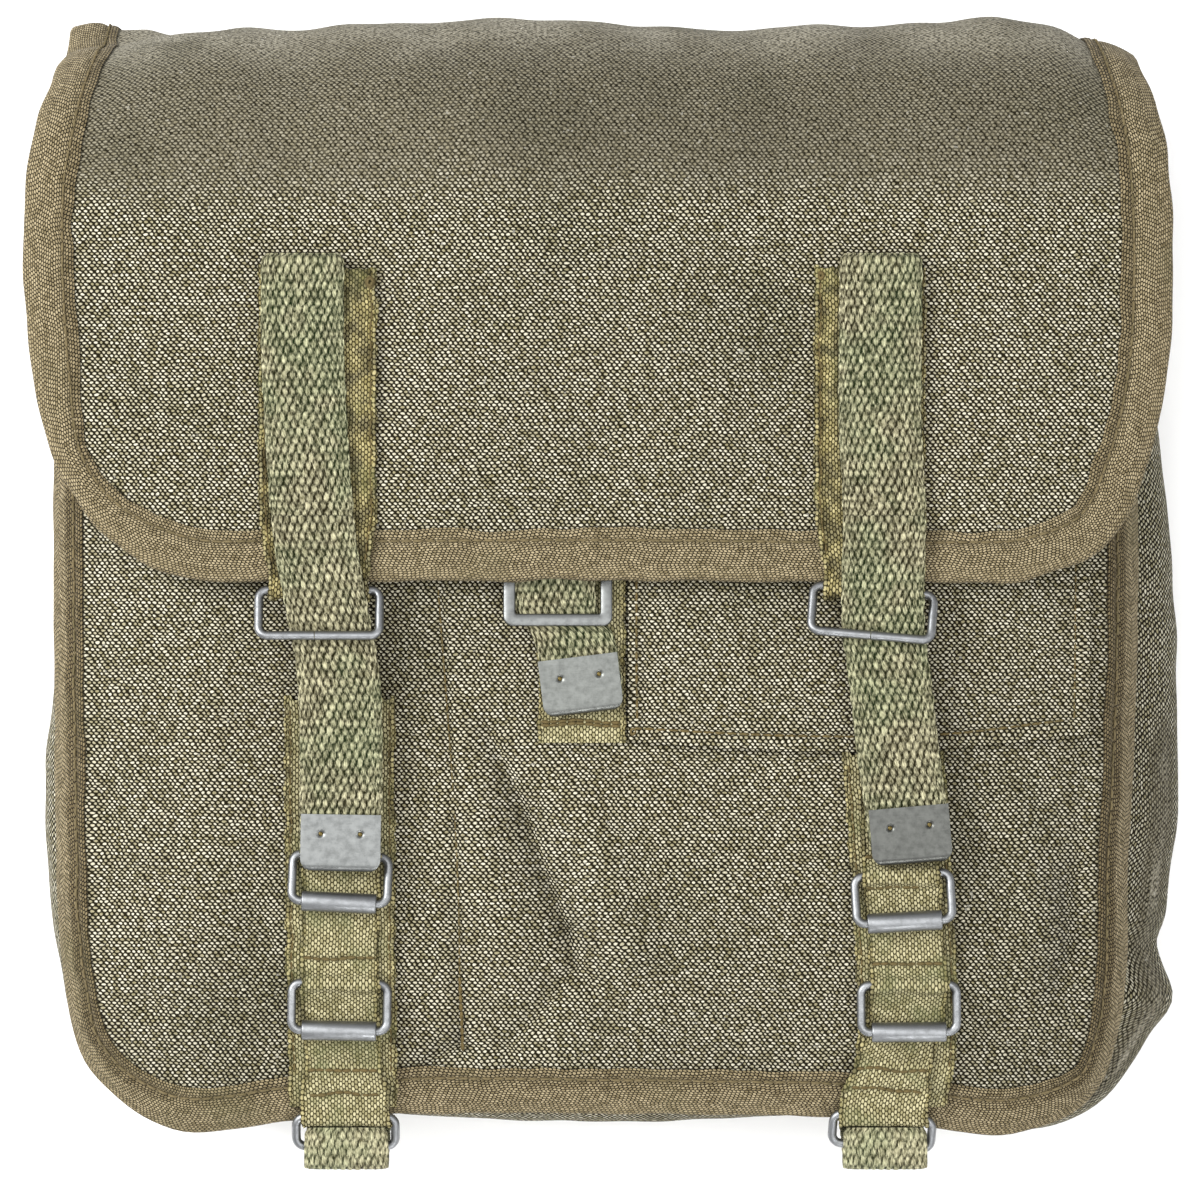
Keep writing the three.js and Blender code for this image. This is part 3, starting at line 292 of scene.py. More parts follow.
ROLLER_SPLIT = (-118, 236)
ROLLER_STEPS = 48
ROLLER_RISE = BUCKLE_LIFT + TAPE / 2 + GAP + ROLLER["radius"] - BAR_LIFT
FLAP_RING = {"width": 32.6, "height": 12.9, "corner": 2.4}
FLAP_BAR_Y = 1.2
FLAP_BAR_Z = 88.2
FLAP_RING_RISE = 4.1
BOTTOM_RING = {"width": 27, "height": 8.6, "corner": 2.6}
BOTTOM_RING_SINK = 2.6
BOTTOM_RING_SEAM = 4.0

# Straps and tapes of each side. Centre lines are (y, x), tapes (y, x, width or tilt in degrees).
STRAP_WIDTH = 22.4
STRAP_TOP_Y = 91
STRAP_TURN_IN = (0.8, 1.0)
SIDES = {
    "left": {
        "strap": [(-76, -70.05), (-23, -70.5), (-4, -73.6), (16, -77), (64, -80.1), (92, -80.1)],
        "tip": {"x": -70.05, "y": -67, "tilt": -1},
        "flap_tape": {"centre": -76.2, "width": 32, "tilt": 0},
        "flap_ring": {"x": -75.8, "seam": -1.2},
        "plate": "plate",
        "body_tape_top": -28.5,
        "body_tape": [(-142, -70, 29.6), (-28, -70.6, 30)],
        "buckle_tape": [(-146, -69.3, 0), (-139, -69.3, 0), (-112, -70.5, -1), (-98, -70.5, -1),
                        (-76, -70.05, -2.5), (-50, -70.05, -2.5)],
        "buckles": {"upper": -70.6, "lower": -105.4},
        "bottom_loop": {"x": -69.1, "width": 23, "seat": 0},
        "cross_rows": (-98.6, -107.6, -129.4, -135.8),
    },
    "right": {
        "strap": [(-76, 85), (-56, 82.4), (-42, 80.4), (-24, 78.4), (-8, 76.4), (24, 76.6), (45, 75.6),
                  (92, 75.7)],
        "tip": {"x": 83.9, "y": -64.9, "tilt": 5},
        "flap_tape": {"centre": 72.8, "width": 30, "tilt": -5},
        "flap_ring": {"x": 74, "seam": 0},
        # The right tip's plate is a darker copy, as painted shade.
        "plate": "shaded_plate",
        "body_tape_top": -43.4,
        "body_tape": [(-142, 79.5, 28), (-123, 83.3, 27.4), (-90, 82.6, 27.4), (-44, 79.4, 27.6)],
        "buckle_tape": [(-146, 77.3, -4), (-139, 77.3, -4), (-112, 83.4, 0.5), (-98, 83.4, 0.5),
                        (-82, 82.1, 3), (-50, 80.4, 3)],
        "buckles": {"upper": -75.8, "lower": -105.8},
        "bottom_loop": {"x": 77.7, "width": 23, "seat": -2},
        "cross_rows": (-70.6, -79.2, -100.2, -108.2, -129.2, -134.6),
    },
}
BUCKLE_TAPE_TOP = -52
BUCKLE_TAPE_WIDENS = (129, 136)
BODY_TAPE_END = 0.6
BODY_TAPE_FRAY = 1.6
FLAP_TAPE_TOP = 88
FLAP_TAPE_FRAY = 1.0
# The flap tapes are crumpled, and their crumples get painted shade.
FLAP_TAPE_CRUMPLE_AND_SHADE = 0.5
FLAP_LOOP_WIDTH = 27.4
CLIMB_START = 3
CLIMB = 2.4
EDGE_STAND = 2
LOOP_TAPER = (5, 24)
FLAP_LOOP_ANGLES = (90, 130, 170, 210, 250, 280)
TUNNEL_ANGLES = (15, 50, 90, 130, 165)
BOTTOM_BAR_ANGLES = (70, 110, 150, 190, 230, 268)
BOTTOM_FOLD_ANGLES = (90, 130, 180, 230)
BOTTOM_FOLD = 3
BOTTOM_LOOP_START = 0.3
# Painted light: the bottom loops' knobs are made paler to stand for the light they catch.
BOTTOM_LOOP_PAINTED_LIGHT = 0.1
BOTTOM_LOOP_TAIL = [(-1.2, 6, 0), (1.6, 15, 0.5), (4.6, 25, 1), (5.4, 31, 1), (4.8, 38, 1)]

# Middle fastening: tape on the panel, stamped frame, and the strap threaded through it.
CENTRE_TAPE = {"x": -4.9, "width": 23.7, "top": 26, "low": -40.2}
CENTRE_FRAME = {"x": -11.4, "width": 29.6, "height": 22, "bar": 3.3, "thickness": 1.5, "top": 13.4,
                "corner": 2.5, "inner_corner": 0.6}
FRAME_CORNER_POINTS = 8
FRAME_PROFILE = [(0, 0), (0.03, 0.75), (0.12, 1), (0.5, 1.04), (0.88, 1), (0.97, 0.75), (1, 0),
                 (0.97, -0.75), (0.88, -1), (0.12, -1), (0.03, -0.75)]
CENTRE_STRAP_WIDTH = 22
CENTRE_TIP = {"x": -5.2, "y": -24.4, "tilt": 7}
CENTRE_TURN = {"tail": 2, "ahead": 7, "over": 2.4, "behind": 5, "under": 2, "before_tip": 1.5}
CENTRE_STRAP = [(-32, -4.2), (-16, -6), (-10, -8), (-5.5, -11.4), (28, -11.4)]

# Weaves: spacing of the knobs along and between their rows, columns of the twill, and the webbing's relief.
CANVAS_KNOB = (1.5, 0.83)
CANVAS_OVAL = (1.65, 0.85)
CANVAS_LEAN = 0.1
PLAIN_OVAL = (1.3, 1.05)
TWILL_KNOB = (1.15, 0.62)
TWILL_COLUMN = 3.6
TAPE_KNOB = (1.45, 0.82)
WEB_COLUMN = 2.08
WEB_ROW = 2.2
WEB_NARROW = 0.22
LEAF_HALF = (0.52, 0.8)
WEB_RELIEF = 0.5
WEB_SPACING = 0.45
WEB_END = 2.4
WEB_END_PINCH = 0.09
WEB_END_DIP = 0.5
WEB_END_DIP_REACH = 1.6
WEB_EDGE_ROUND = 0.55
WEB_SHARP = 75
LEAF_POWER = 1.7
LEAF_ROUND = 0.75
KNOB_SIZES = (0.72, 1.0)
KNOB_TABLE = (64, 512)

# Colours of the finishes, as screen values from 0 to 255.
COLOURS = {
    "canvas gap": (20, 16, 2),
    "canvas knob, dim": (124, 117, 88),
    "canvas knob, pale": (194, 189, 171),
    # Worn fuzz, made darker partly as painted shade of the flap's roll.
    "canvas fuzz and shade, dim": (24, 20, 6),
    "canvas fuzz and shade, pale": (116, 110, 93),
    "canvas stain": (86, 98, 72),
    # Rubbed pallor, partly painted sheen.
    "canvas, rubbed and sheen": (158, 153, 138),
    "lint": (170, 167, 156),
    "twill gap": (18, 12, 0),
    "twill knob, dim": (71, 60, 30),
    "twill knob, pale": (173, 159, 128),
    "twill, rubbed": (124, 112, 85),
    "twill, green": (80, 78, 51),
    # Painted shade on the inner band of the bindings.
    "twill painted band shade": (140, 131, 104),
    "webbing knob, dim": (54, 48, 15),
    "webbing knob, pale": (206, 200, 165),
    "green knob, dim": (41, 50, 15),
    "green knob, pale": (180, 185, 146),
    "webbing valley": (22, 18, 0),
    "green valley": (14, 26, 3),
    "tape gap": (46, 40, 14),
    "tape knob, dim": (108, 101, 66),
    "tape knob, pale": (187, 180, 144),
    "tape, green": (88, 95, 62),
    # Painted shade of the tape's edges, cords and crumples.
    "tape painted shade, dim": (104, 96, 69),
    "tape painted shade, pale": (236, 228, 198),
    "thread, faded": (76, 70, 45),
    "khaki thread, dim": (70, 61, 40),
    "khaki thread, pale": (118, 105, 75),
    "brown thread, dim": (54, 45, 24),
    "brown thread, pale": (108, 93, 56),
    "wire": (137, 139, 141),
    "plate": (120, 122, 121),
    "grey_plate": (110, 112, 109),
    # Painted shade: a darker copy of the plate for the right strap tip.
    "shaded_plate": (86, 87, 84),
    "brass": (98, 86, 52),
}
METAL_ROUGHNESS = {"wire": 0.42, "plate": 0.4, "grey_plate": 0.4, "shaded_plate": 0.36, "brass": 0.5}

# Mesh spacing of cloth and tapes, and sizes of the stitches.
CLOTH_SPACING = 1.6
TAPE_SPACING = 0.95
STITCH = {"length": 2.7, "gap": 0.5, "radius": 0.36}
HEAVY_STITCH = {"length": 2.3, "gap": 0.1, "radius": 0.48}
FINE_STITCH = {"length": 2.2, "gap": 0.45, "radius": 0.24}
LUMP_RADIUS = 0.38
CORD_RADIUS = 0.62
CORD_LUMP = 1.9
CORD_STEP = 0.45
CORD_WAVE = 0.28
CORD_LIFT = 0.3
CORD_SIDES = 7
CORD_SHADE = 0.7
CORD_NARROW = 0.7
TAPE_COLUMNS = 30
TAPE_EDGE_SHADE = 0.5
TAPE_CRUMPLE_SHADE = 1.6
FRAY_REACH = 4
FRAY_ENDS = (-0.4, 1.0)
PLEAT_RIDGE = (0.5, 1.7, 0.9)
PLEAT_GROOVE = (0.25, 0.7)

# Shape of one stitch along its length, how much stitches differ, the knots, and where rows run.
STITCH_SHARES = np.array([0.0, 0.12, 0.35, 0.65, 0.88, 1.0])
STITCH_THICK = np.array([0.35, 0.8, 1.0, 1.0, 0.8, 0.35])
STITCH_ARCH = np.array([-0.6, 0.2, 0.6, 0.6, 0.2, -0.6])
STITCH_SIDES = 6
STITCH_SHIFT = 0.15
STITCH_SIZES = (0.85, 1.15)
STITCH_SWAY = 0.25
LUMP_POINTS = 30
LUMP_TURNS = 2.2
LUMP_WIDTHS = (1.1, 0.5)
LUMP_SIZES = (0.8, 1.1)
LUMP_LONGER = 1.3
LUMP_RISE = (-0.2, 0.7)
FLAP_TAPE_SEWN = slice(4, -14)
BODY_TAPE_SEWN = slice(3, -10)
CROSS_ROW_SHARE = 0.46
ROW_POINTS = 40
CENTRE_ROW = {"y": -34.4, "share": 0.47, "shifts": (0, -0.9)}

# Stitch lines of the front panel (x, y): the long seam, the bar at its foot, and the pocket flap's lines.
PANEL_SEAM = [(-43.9, 2), (-39.4, -60), (-38.3, -86), (-38.1, -104)]
PANEL_BAR = [(-38.1, -104), (-37.6, -116), (-37.3, -126)]
POCKET_SEWN_LEFT = POCKET["left"] + 2.3
POCKET_SEWN_RIGHT = POCKET["right"] - 4
POCKET_SEAMS = {
    "left": [(POCKET_SEWN_LEFT, 20), (POCKET_SEWN_LEFT, -20), (POCKET_SEWN_LEFT + 0.2, -36)],
    "low": [(POCKET_SEWN_LEFT - 1, -36.2), ((POCKET["left"] + POCKET["right"]) / 2 - 20, -38.2),
            ((POCKET["left"] + POCKET["right"]) / 2 + 20, -38), (POCKET_SEWN_RIGHT, -33.8)],
    "right": [(POCKET_SEWN_RIGHT, -33.8), (POCKET_SEWN_RIGHT + 0.3, -10), (POCKET_SEWN_RIGHT + 0.4, 20)],
}
POCKET_KNOT = (POCKET_SEWN_LEFT - 1, -37.2)
ON_POCKET = CANVAS + POCKET_LIFT + CANVAS / 2

# Seeds of the pieces.
SEEDS = {"flap_tape": 51, "body_tape": 55, "buckle_tape": 57, "centre_tape": 58, "strap": 61,
         "centre_strap": 63, "bottom_loop": 81, "flap_tape_stitches": 71, "body_tape_stitches": 72,
         "flap_tape_knots": 75, "pocket_knot": 77, "cross_rows": 90, "centre_row": 97, "panel_seams": 110}

# Fineness of curves, points compared at once, waves that make the unevenness, and the angle of a sharp edge.
CURVE_STEPS = 40
READER_POINTS = 200
CHUNK = 4000
WAVES = 7
WAVE_SIZES = (0.7, 1.7)
SHARP_EDGE = 50

# The frame's origin is the middle of the bag's footprint: the middle tape shows where the tables lie in it.
tape_low, tape_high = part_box("centre_tape")
SHIFT_X = (tape_low.x + tape_high.x) / 2 / MM - CENTRE_TAPE["x"]
SHIFT_Y = tape_high.y / MM - CENTRE_TAPE["top"]
SHIFT = np.array([SHIFT_X, SHIFT_Y, 0.0])


# Camera, floor and light.

def add_camera():
    """Camera straight above the bag, with the bag's top at the top of the frame."""
    data = bpy.data.cameras.new("camera")
    data.sensor_width = SENSOR
    data.lens = SENSOR * CAMERA_DISTANCE / FRAME_WIDTH
    data.clip_end = CAMERA_END
    camera = bpy.data.objects.new("camera", data)
    camera.location = (SHIFT[0] * MM, SHIFT[1] * MM, (FRAME_Z + CAMERA_DISTANCE) * MM)
    bpy.context.scene.collection.objects.link(camera)
    bpy.context.scene.camera = camera


def add_lamp(name, place, size, power):
    """Soft square lamp at a place in metres, turned to the bag."""
    data = bpy.data.lights.new(name, "AREA")
    data.size = size
    data.energy = power
    lamp = bpy.data.objects.new(name, data)
    lamp.location = place
    lamp.rotation_euler = (lamp.location - Vector(LAMP_AIM)).to_track_quat("Z", "Y").to_euler()
    bpy.context.scene.collection.objects.link(lamp)


def add_studio():
    """Pale floor, soft lamps and an even pale surround."""
    mesh = bpy.data.meshes.new("floor")
    corners = [(x * FLOOR_REACH, y * FLOOR_REACH, 0) for x, y in ((-1, -1), (1, -1), (1, 1), (-1, 1))]
    mesh.from_pydata(corners, [], [(0, 1, 2, 3)])
    floor = bpy.data.objects.new("floor", mesh)
    bpy.context.scene.collection.objects.link(floor)
    graph = Graph("floor")
    graph.finish({"Base Color": FLOOR_TONE, "Roughness": 0.9, "Specular IOR Level": 0.0})
    mesh.materials.append(graph.material)
    for name, (place, size, power) in LAMPS.items():
        add_lamp(name, place, size, power)
    world = bpy.data.worlds.new("studio")
    world.use_nodes = True
    background = world.node_tree.nodes["Background"]
    background.inputs["Color"].default_value = (1, 1, 1, 1)
    background.inputs["Strength"].default_value = SURROUND
    bpy.context.scene.world = world
    bpy.context.scene.view_settings.view_transform = "Standard"


# Shader graphs.

class Value:
    """A shader value: arithmetic on it adds Math nodes to its graph."""

    def __init__(self, graph, socket):
        self.graph = graph
        self.socket = socket

    def __add__(self, other):
        return self.graph.math("ADD", self, other)

    def __radd__(self, other):
        return self.graph.math("ADD", other, self)

    def __sub__(self, other):
        return self.graph.math("SUBTRACT", self, other)

    def __rsub__(self, other):
        return self.graph.math("SUBTRACT", other, self)

    def __mul__(self, other):
        return self.graph.math("MULTIPLY", self, other)

    def __rmul__(self, other):
        return self.graph.math("MULTIPLY", other, self)

    def __truediv__(self, other):
        return self.graph.math("DIVIDE", self, other)

    def __rtruediv__(self, other):
        return self.graph.math("DIVIDE", other, self)

    def __mod__(self, other):
        return self.graph.math("FLOORED_MODULO", self, other)

    def __abs__(self):
        return self.graph.math("ABSOLUTE", self)

    def floor(self):
        return self.graph.math("FLOOR", self)


class Graph:
    """The node graph of one material."""

    def __init__(self, name):
        self.material = bpy.data.materials.new(name)
        self.material.use_nodes = True
        self.tree = self.material.node_tree
        self.tree.nodes.clear()

    def node(self, kind, settings=None, sockets=None):
        """Adds a node, sets its settings first, then fills or links its sockets."""
        node = self.tree.nodes.new(kind)
        for setting, value in (settings or {}).items():
            setattr(node, setting, value)
        for socket, value in (sockets or {}).items():
            value = value.socket if isinstance(value, Value) else value
            if isinstance(value, bpy.types.NodeSocket):
                self.tree.links.new(value, node.inputs[socket])
            else:
                node.inputs[socket].default_value = value
        return node

    def math(self, operation, *operands):
        node = self.node("ShaderNodeMath", {"operation": operation}, dict(enumerate(operands)))
        return Value(self, node.outputs[0])

    def mark(self, name):
        """The three numbers kept on each point of a mesh under a name."""
        mark = self.node("ShaderNodeAttribute", {"attribute_name": name})
        parts = self.node("ShaderNodeSeparateXYZ", sockets={0: mark.outputs["Vector"]})
        return [Value(self, output) for output in parts.outputs]

    def vector(self, *parts):
        return self.node("ShaderNodeCombineXYZ", sockets=dict(enumerate(parts))).outputs[0]

    def place(self):
        """Place on the bag in metres."""
        return self.node("ShaderNodeTexCoord").outputs["Object"]

    def noise(self, vector, scale, detail=2.0, roughness=0.5):
        sockets = {"Vector": vector, "Scale": scale, "Detail": detail, "Roughness": roughness}
        return Value(self, self.node("ShaderNodeTexNoise", sockets=sockets).outputs[0])

    def dice(self, vector):
        """One random number for each whole vector."""
        return Value(self, self.node("ShaderNodeTexWhiteNoise", sockets={"Vector": vector}).outputs["Value"])

    def ease(self, value, start, end, low=0.0, high=1.0):
        """Smooth step from low at the start to high at the end."""
        sockets = {0: value, 1: start, 2: end, 3: low, 4: high}
        node = self.node("ShaderNodeMapRange", {"interpolation_type": "SMOOTHSTEP"}, sockets)
        return Value(self, node.outputs[0])

    def blend(self, share, one, other, mode="MIX"):
        sockets = {0: share, 6: one, 7: other}
        return self.node("ShaderNodeMix", {"data_type": "RGBA", "blend_type": mode}, sockets).outputs[2]

    def bump(self, height, distance, strength=1.0):
        sockets = {"Height": height, "Distance": distance, "Strength": strength}
        return self.node("ShaderNodeBump", sockets=sockets).outputs[0]

    def finish(self, sockets):
        shader = self.node("ShaderNodeBsdfPrincipled", sockets=sockets)
        self.node("ShaderNodeOutputMaterial", sockets={"Surface": shader.outputs[0]})


def paint(name):
    """Shader colour of one of the named colours."""
    shares = [value / 255 for value in COLOURS[name]]
    linear = [share / 12.92 if share <= 0.04045 else ((share + 0.055) / 1.055) ** 2.4 for share in shares]
    return (*linear, 1.0)


def staggered(graph, across, along, size, lean=0.0, shape=PLAIN_OVAL):
    """Staggered rows of oval knobs: how high the cloth stands, and a random number for each knob."""
    row = (along / size[1]).floor()
    aside = across / size[0] + 0.5 * (row % 2)
    number = aside.floor()
    up = 2 * (along / size[1] - row) - 1
    over = 2 * (aside - number) - 1 + lean * up
    oval = 1 - over * over * shape[0] - up * up * shape[1]
    return oval, graph.dice(graph.vector(number, row, 0.0))


def canvas_material():
    """Faded olive-grey canvas: pale knobs over dark gaps, slubs, green stains, worn fuzz darkened partly as
    painted shade, and rubbed places, partly pale with painted sheen.
    """
    graph = Graph("canvas")
    across, along, wear_and_shade = graph.mark("weave")
    place = graph.place()
    drift = graph.noise(graph.vector(across * 0.07, along * 0.07, 0.0), 1.0, 3.0)
    lean = graph.noise(graph.vector(across * 0.06, along * 0.09, 7.0), 1.0, 3.0)
    jitter = graph.noise(graph.vector(across * 0.45, along * 0.45, 9.0), 1.0, 1.0)
    shifted_across = across + 1.6 * drift + 1.3 * jitter
    shifted_along = along + 1.8 * lean + 0.35 * jitter
    oval, dice = staggered(graph, shifted_across, shifted_along, CANVAS_KNOB, CANVAS_LEAN, CANVAS_OVAL)
    slub = graph.noise(graph.vector(across * 0.13, along * 1.1, 3.0), 1.0, 2.0)
    streak = graph.noise(graph.vector(across * 0.9, along * 0.05, 5.0), 1.0, 2.0)
    knob = graph.ease(oval, 0.06, 0.74)
    bright = graph.ease(0.42 * dice + 0.5 * slub + 0.3 * streak, 0.25, 1.0)
    tone = graph.blend(bright, paint("canvas knob, dim"), paint("canvas knob, pale"))
    cloth = graph.blend(knob, paint("canvas gap"), tone)
    rubbed = graph.noise(place, 34.0, 4.0, 0.6)
    fade_and_shade = graph.ease(wear_and_shade * 0.8 + 0.5 * rubbed, 0.4, 1.1)
    fuzz = graph.noise(graph.vector(across * 2.6, along * 2.6, 1.0), 1.0, 2.0)
    fleck = graph.ease(graph.noise(graph.vector(across * 1.1, along * 0.7, 2.0), 1.0, 2.0), 0.36, 0.64)
    # Worn fuzz, darkened partly as painted shade on the roll.
    fuzz_and_shade = graph.blend(0.6 * knob + 0.4 * fleck, paint("canvas fuzz and shade, dim"), paint("canvas fuzz and shade, pale"))
    cloth = graph.blend(fade_and_shade * 0.8, cloth, fuzz_and_shade)
    stain = graph.ease(graph.noise(place, 16.0, 4.0, 0.62), 0.5, 0.78)
    cloth = graph.blend(stain * 0.4, cloth, paint("canvas stain"), "SOFT_LIGHT")
    dark = graph.ease(graph.noise(place, 9.0, 3.0, 0.55), 0.42, 0.75, 1.04, 0.84)
    tint = graph.node("ShaderNodeCombineColor", sockets={0: dark, 1: dark, 2: dark * 0.98}).outputs[0]
    cloth = graph.blend(1.0, cloth, tint, "MULTIPLY")
    # Rubbed pallor: partly wear, partly painted sheen on the top of the roll.
    pale = graph.ease(wear_and_shade, 1.2, 2.0) * graph.ease(rubbed, 0.3, 0.62) * (0.15 + fleck)
    cloth = graph.blend(pale * 0.85, cloth, paint("canvas, rubbed and sheen"))
    lint = graph.ease(graph.noise(place, 620.0, 1.0), 0.735, 0.78)
    cloth = graph.blend(lint * 0.4, cloth, paint("lint"))
    normal = graph.bump(knob * (1 - 0.5 * fade_and_shade) + 0.3 * fuzz + 0.25 * slub, 0.0004, 0.85)
    graph.finish({"Base Color": cloth, "Roughness": 0.95, "Specular IOR Level": 0.1, "Sheen Weight": 0.04,
                  "Normal": normal})
    return graph.material


def twill_material():
    """Khaki herringbone tape: fine slanting ribs that turn at narrow columns, with small dark gaps."""
    graph = Graph("twill")
    along, across, wear_and_shade = graph.mark("weave")
    place = graph.place()
    drift = graph.noise(graph.vector(along * 0.06, across * 0.25, 2.0), 1.0, 3.0)
    zigzag = abs((across + 2.2 * drift) % (2 * TWILL_COLUMN) - TWILL_COLUMN)
    oval, dice = staggered(graph, along + 0.45 * zigzag + 2.0 * drift, across, TWILL_KNOB)
    knob = graph.ease(oval, -0.2, 0.5)
    cloud = graph.noise(graph.vector(along * 0.25, across * 0.5, 4.0), 1.0, 3.0, 0.6)
    tone = graph.blend(0.45 * dice + 0.55 * cloud, paint("twill knob, dim"), paint("twill knob, pale"))
    cloth = graph.blend(knob, paint("twill gap"), tone)
    rubbed = graph.ease(graph.noise(place, 40.0, 3.0, 0.6) + 0.35 * wear_and_shade, 0.5, 1.0)
    cloth = graph.blend(rubbed * 0.2, cloth, paint("twill, rubbed"))
    green = graph.ease(graph.noise(place, 22.0, 3.0, 0.6), 0.5, 0.78)
    cloth = graph.blend(green * 0.4, cloth, paint("twill, green"))
    # Painted shade: the binding's inner band darkens where its mark falls below zero.
    painted_band_shade = graph.ease(0.0 - wear_and_shade, 0.0, 1.0)
    cloth = graph.blend(painted_band_shade * 0.8, cloth, paint("twill painted band shade"), "MULTIPLY")
    normal = graph.bump(knob + 0.5 * cloud, 0.0003, 0.8)
    graph.finish({"Base Color": cloth, "Roughness": 0.92, "Specular IOR Level": 0.12, "Sheen Weight": 0.03,
                  "Normal": normal})
    return graph.material


def webbing_material():
    """Sage-beige webbing: pale knobs of loose strands with green in the valleys between them."""
    graph = Graph("webbing")
    across, along, knob = graph.mark("weave")
    place = graph.place()
    strand = graph.noise(graph.vector(across * 3.0 - along * 0.5, along * 0.7, 0.0), 1.0, 3.0, 0.65)
    strand = graph.ease(strand, 0.26, 0.74)
    lump = graph.noise(graph.vector(across * 0.5, along * 0.45, 4.0), 1.0, 1.0)
    patch = graph.ease(graph.noise(place, 60.0, 3.0, 0.6), 0.38, 0.66)
    shade = 0.6 * strand + 0.4 * graph.ease(lump, 0.3, 0.7)
    pale = graph.blend(shade, paint("webbing knob, dim"), paint("webbing knob, pale"))
    green = graph.blend(shade, paint("green knob, dim"), paint("green knob, pale"))
    tone = graph.blend(patch * 0.6, pale, green)
    valley = graph.blend(patch, paint("webbing valley"), paint("green valley"))
    cloth = graph.blend(graph.ease(knob + 0.3 * strand, 0.38, 1.02), valley, tone)
    normal = graph.bump(strand, 0.0003, 0.8)
    graph.finish({"Base Color": cloth, "Roughness": 0.92, "Specular IOR Level": 0.1, "Sheen Weight": 0.03,
                  "Normal": normal})
    return graph.material


def tape_material():
    """Yellow-olive cotton tape: narrow columns of staggered knobs, with painted shade at its corded edges and
    on its crumples.
    """
    graph = Graph("tape")
    across, along, wear_and_shade = graph.mark("weave")
    place = graph.place()
    drift = graph.noise(graph.vector(across * 0.2, along * 0.2, 0.0), 1.0, 2.0)
    oval, dice = staggered(graph, along + 0.9 * drift, across + 0.9 * drift, TAPE_KNOB)
    knob = graph.ease(oval, -0.4, 0.5)
    cloud = graph.noise(place, 240.0, 3.0, 0.6)
    tone = graph.blend(0.6 * dice + 0.4 * cloud, paint("tape knob, dim"), paint("tape knob, pale"))
    cloth = graph.blend(knob, paint("tape gap"), tone)
    green = graph.ease(graph.noise(place, 70.0, 3.0, 0.6), 0.45, 0.7)
    cloth = graph.blend(green * 0.45, cloth, paint("tape, green"))
    # Painted shade: the tape darkens at its edges and cords, and in patches where it is crumpled.
    crumple_shade_mask = graph.ease(graph.noise(place, 210.0, 3.0, 0.6), 0.38, 0.6)
    painted_shade_tone = graph.blend(crumple_shade_mask, paint("tape painted shade, dim"), paint("tape painted shade, pale"))
    cloth = graph.blend(wear_and_shade * 0.85, cloth, painted_shade_tone, "MULTIPLY")
    normal = graph.bump(knob + 0.6 * cloud, 0.0004, 0.9)
    graph.finish({"Base Color": cloth, "Roughness": 0.92, "Specular IOR Level": 0.12, "Normal": normal})
    return graph.material


def thread_material(name, dark, pale):
    """Sewing thread, flecked and faded in places."""
    graph = Graph(name)
    place = graph.place()
    fleck = graph.noise(place, 900.0, 2.0)
    patch = graph.noise(place, 60.0, 2.0)
    cloth = graph.blend(fleck, dark, pale)
    cloth = graph.blend(graph.ease(patch, 0.4, 0.7) * 0.5, cloth, paint("thread, faded"))
    graph.finish({"Base Color": cloth, "Roughness": 0.85, "Specular IOR Level": 0.25})
    return graph.material


def metal_material(name, rough):
    """Dull plating with wear: fine scratches, darker stains and rubbed brighter places."""
    graph = Graph(name)
    tone = paint(name)
    place = graph.place()
    blotch = graph.noise(place, 520.0, 4.0, 0.65)
    cloud = graph.noise(place, 150.0, 3.0, 0.6)
    stretched = graph.node("ShaderNodeVectorMath", {"operation": "MULTIPLY"},
                           {0: place, 1: (300.0, 2600.0, 900.0)}).outputs[0]
    scratch = graph.noise(stretched, 1.0, 2.0)
    bright = tuple(min(1.0, 1.3 * part) for part in tone[:3]) + (1.0,)
    dim = tuple(0.7 * part for part in tone[:3]) + (1.0,)
    metal = graph.blend(graph.ease(blotch + 0.4 * cloud, 0.4, 0.9), dim, tone)
    metal = graph.blend(graph.ease(scratch, 0.58, 0.78) * 0.35, metal, bright)
    roughness = graph.ease(blotch + 0.3 * scratch, 0.3, 0.95, rough + 0.12, rough - 0.05)
    normal = graph.bump(0.6 * blotch + 0.4 * scratch, 0.00005, 0.4)
    graph.finish({"Base Color": metal, "Metallic": 1.0, "Roughness": roughness, "Normal": normal})
    return graph.material


# Lines and surfaces.

def run_of(points):
    """Length along a line of points, from its start to each of them."""
    return np.concatenate([[0.0], np.cumsum(np.linalg.norm(np.diff(points, axis=0), axis=1))])


def evenly(points, count):
    """The same line with its points evenly spaced."""
    runs = run_of(points)
    at = np.linspace(0, runs[-1], count)
    return np.stack([np.interp(at, runs, column) for column in points.T], axis=1)


def curve_through(points, count):
    """Evenly spaced points along a smooth curve through the given ones."""
    points = np.asarray(points, float)
    knots = np.concatenate([[0.0], np.cumsum(np.sqrt(np.linalg.norm(np.diff(points, axis=0), axis=1)))])
    slopes = np.gradient(points, knots, axis=0)
    at = np.linspace(0, knots[-1], CURVE_STEPS * len(points))
    i = np.clip(np.searchsorted(knots, at, side="right") - 1, 0, len(points) - 2)
    span = (knots[i + 1] - knots[i])[:, None]
    t = (at - knots[i])[:, None] / span
    ends = (2 * t ** 3 - 3 * t ** 2 + 1) * points[i] + (3 * t ** 2 - 2 * t ** 3) * points[i + 1]
    bends = (t ** 3 - 2 * t ** 2 + t) * slopes[i] + (t ** 3 - t ** 2) * slopes[i + 1]
    return evenly(ends + span * bends, count)


def reader(rows, column=1):
    """Function that reads a table smoothly: the rows rise in their first column."""
    rows = np.asarray(rows, float)
    line = rows[:, [0, column]]
    if len(rows) > 2:
        line = curve_through(line, READER_POINTS)
    return lambda at: np.interp(at, line[:, 0], line[:, 1])


def unit(vectors):
    return vectors / np.linalg.norm(vectors, axis=-1, keepdims=True)


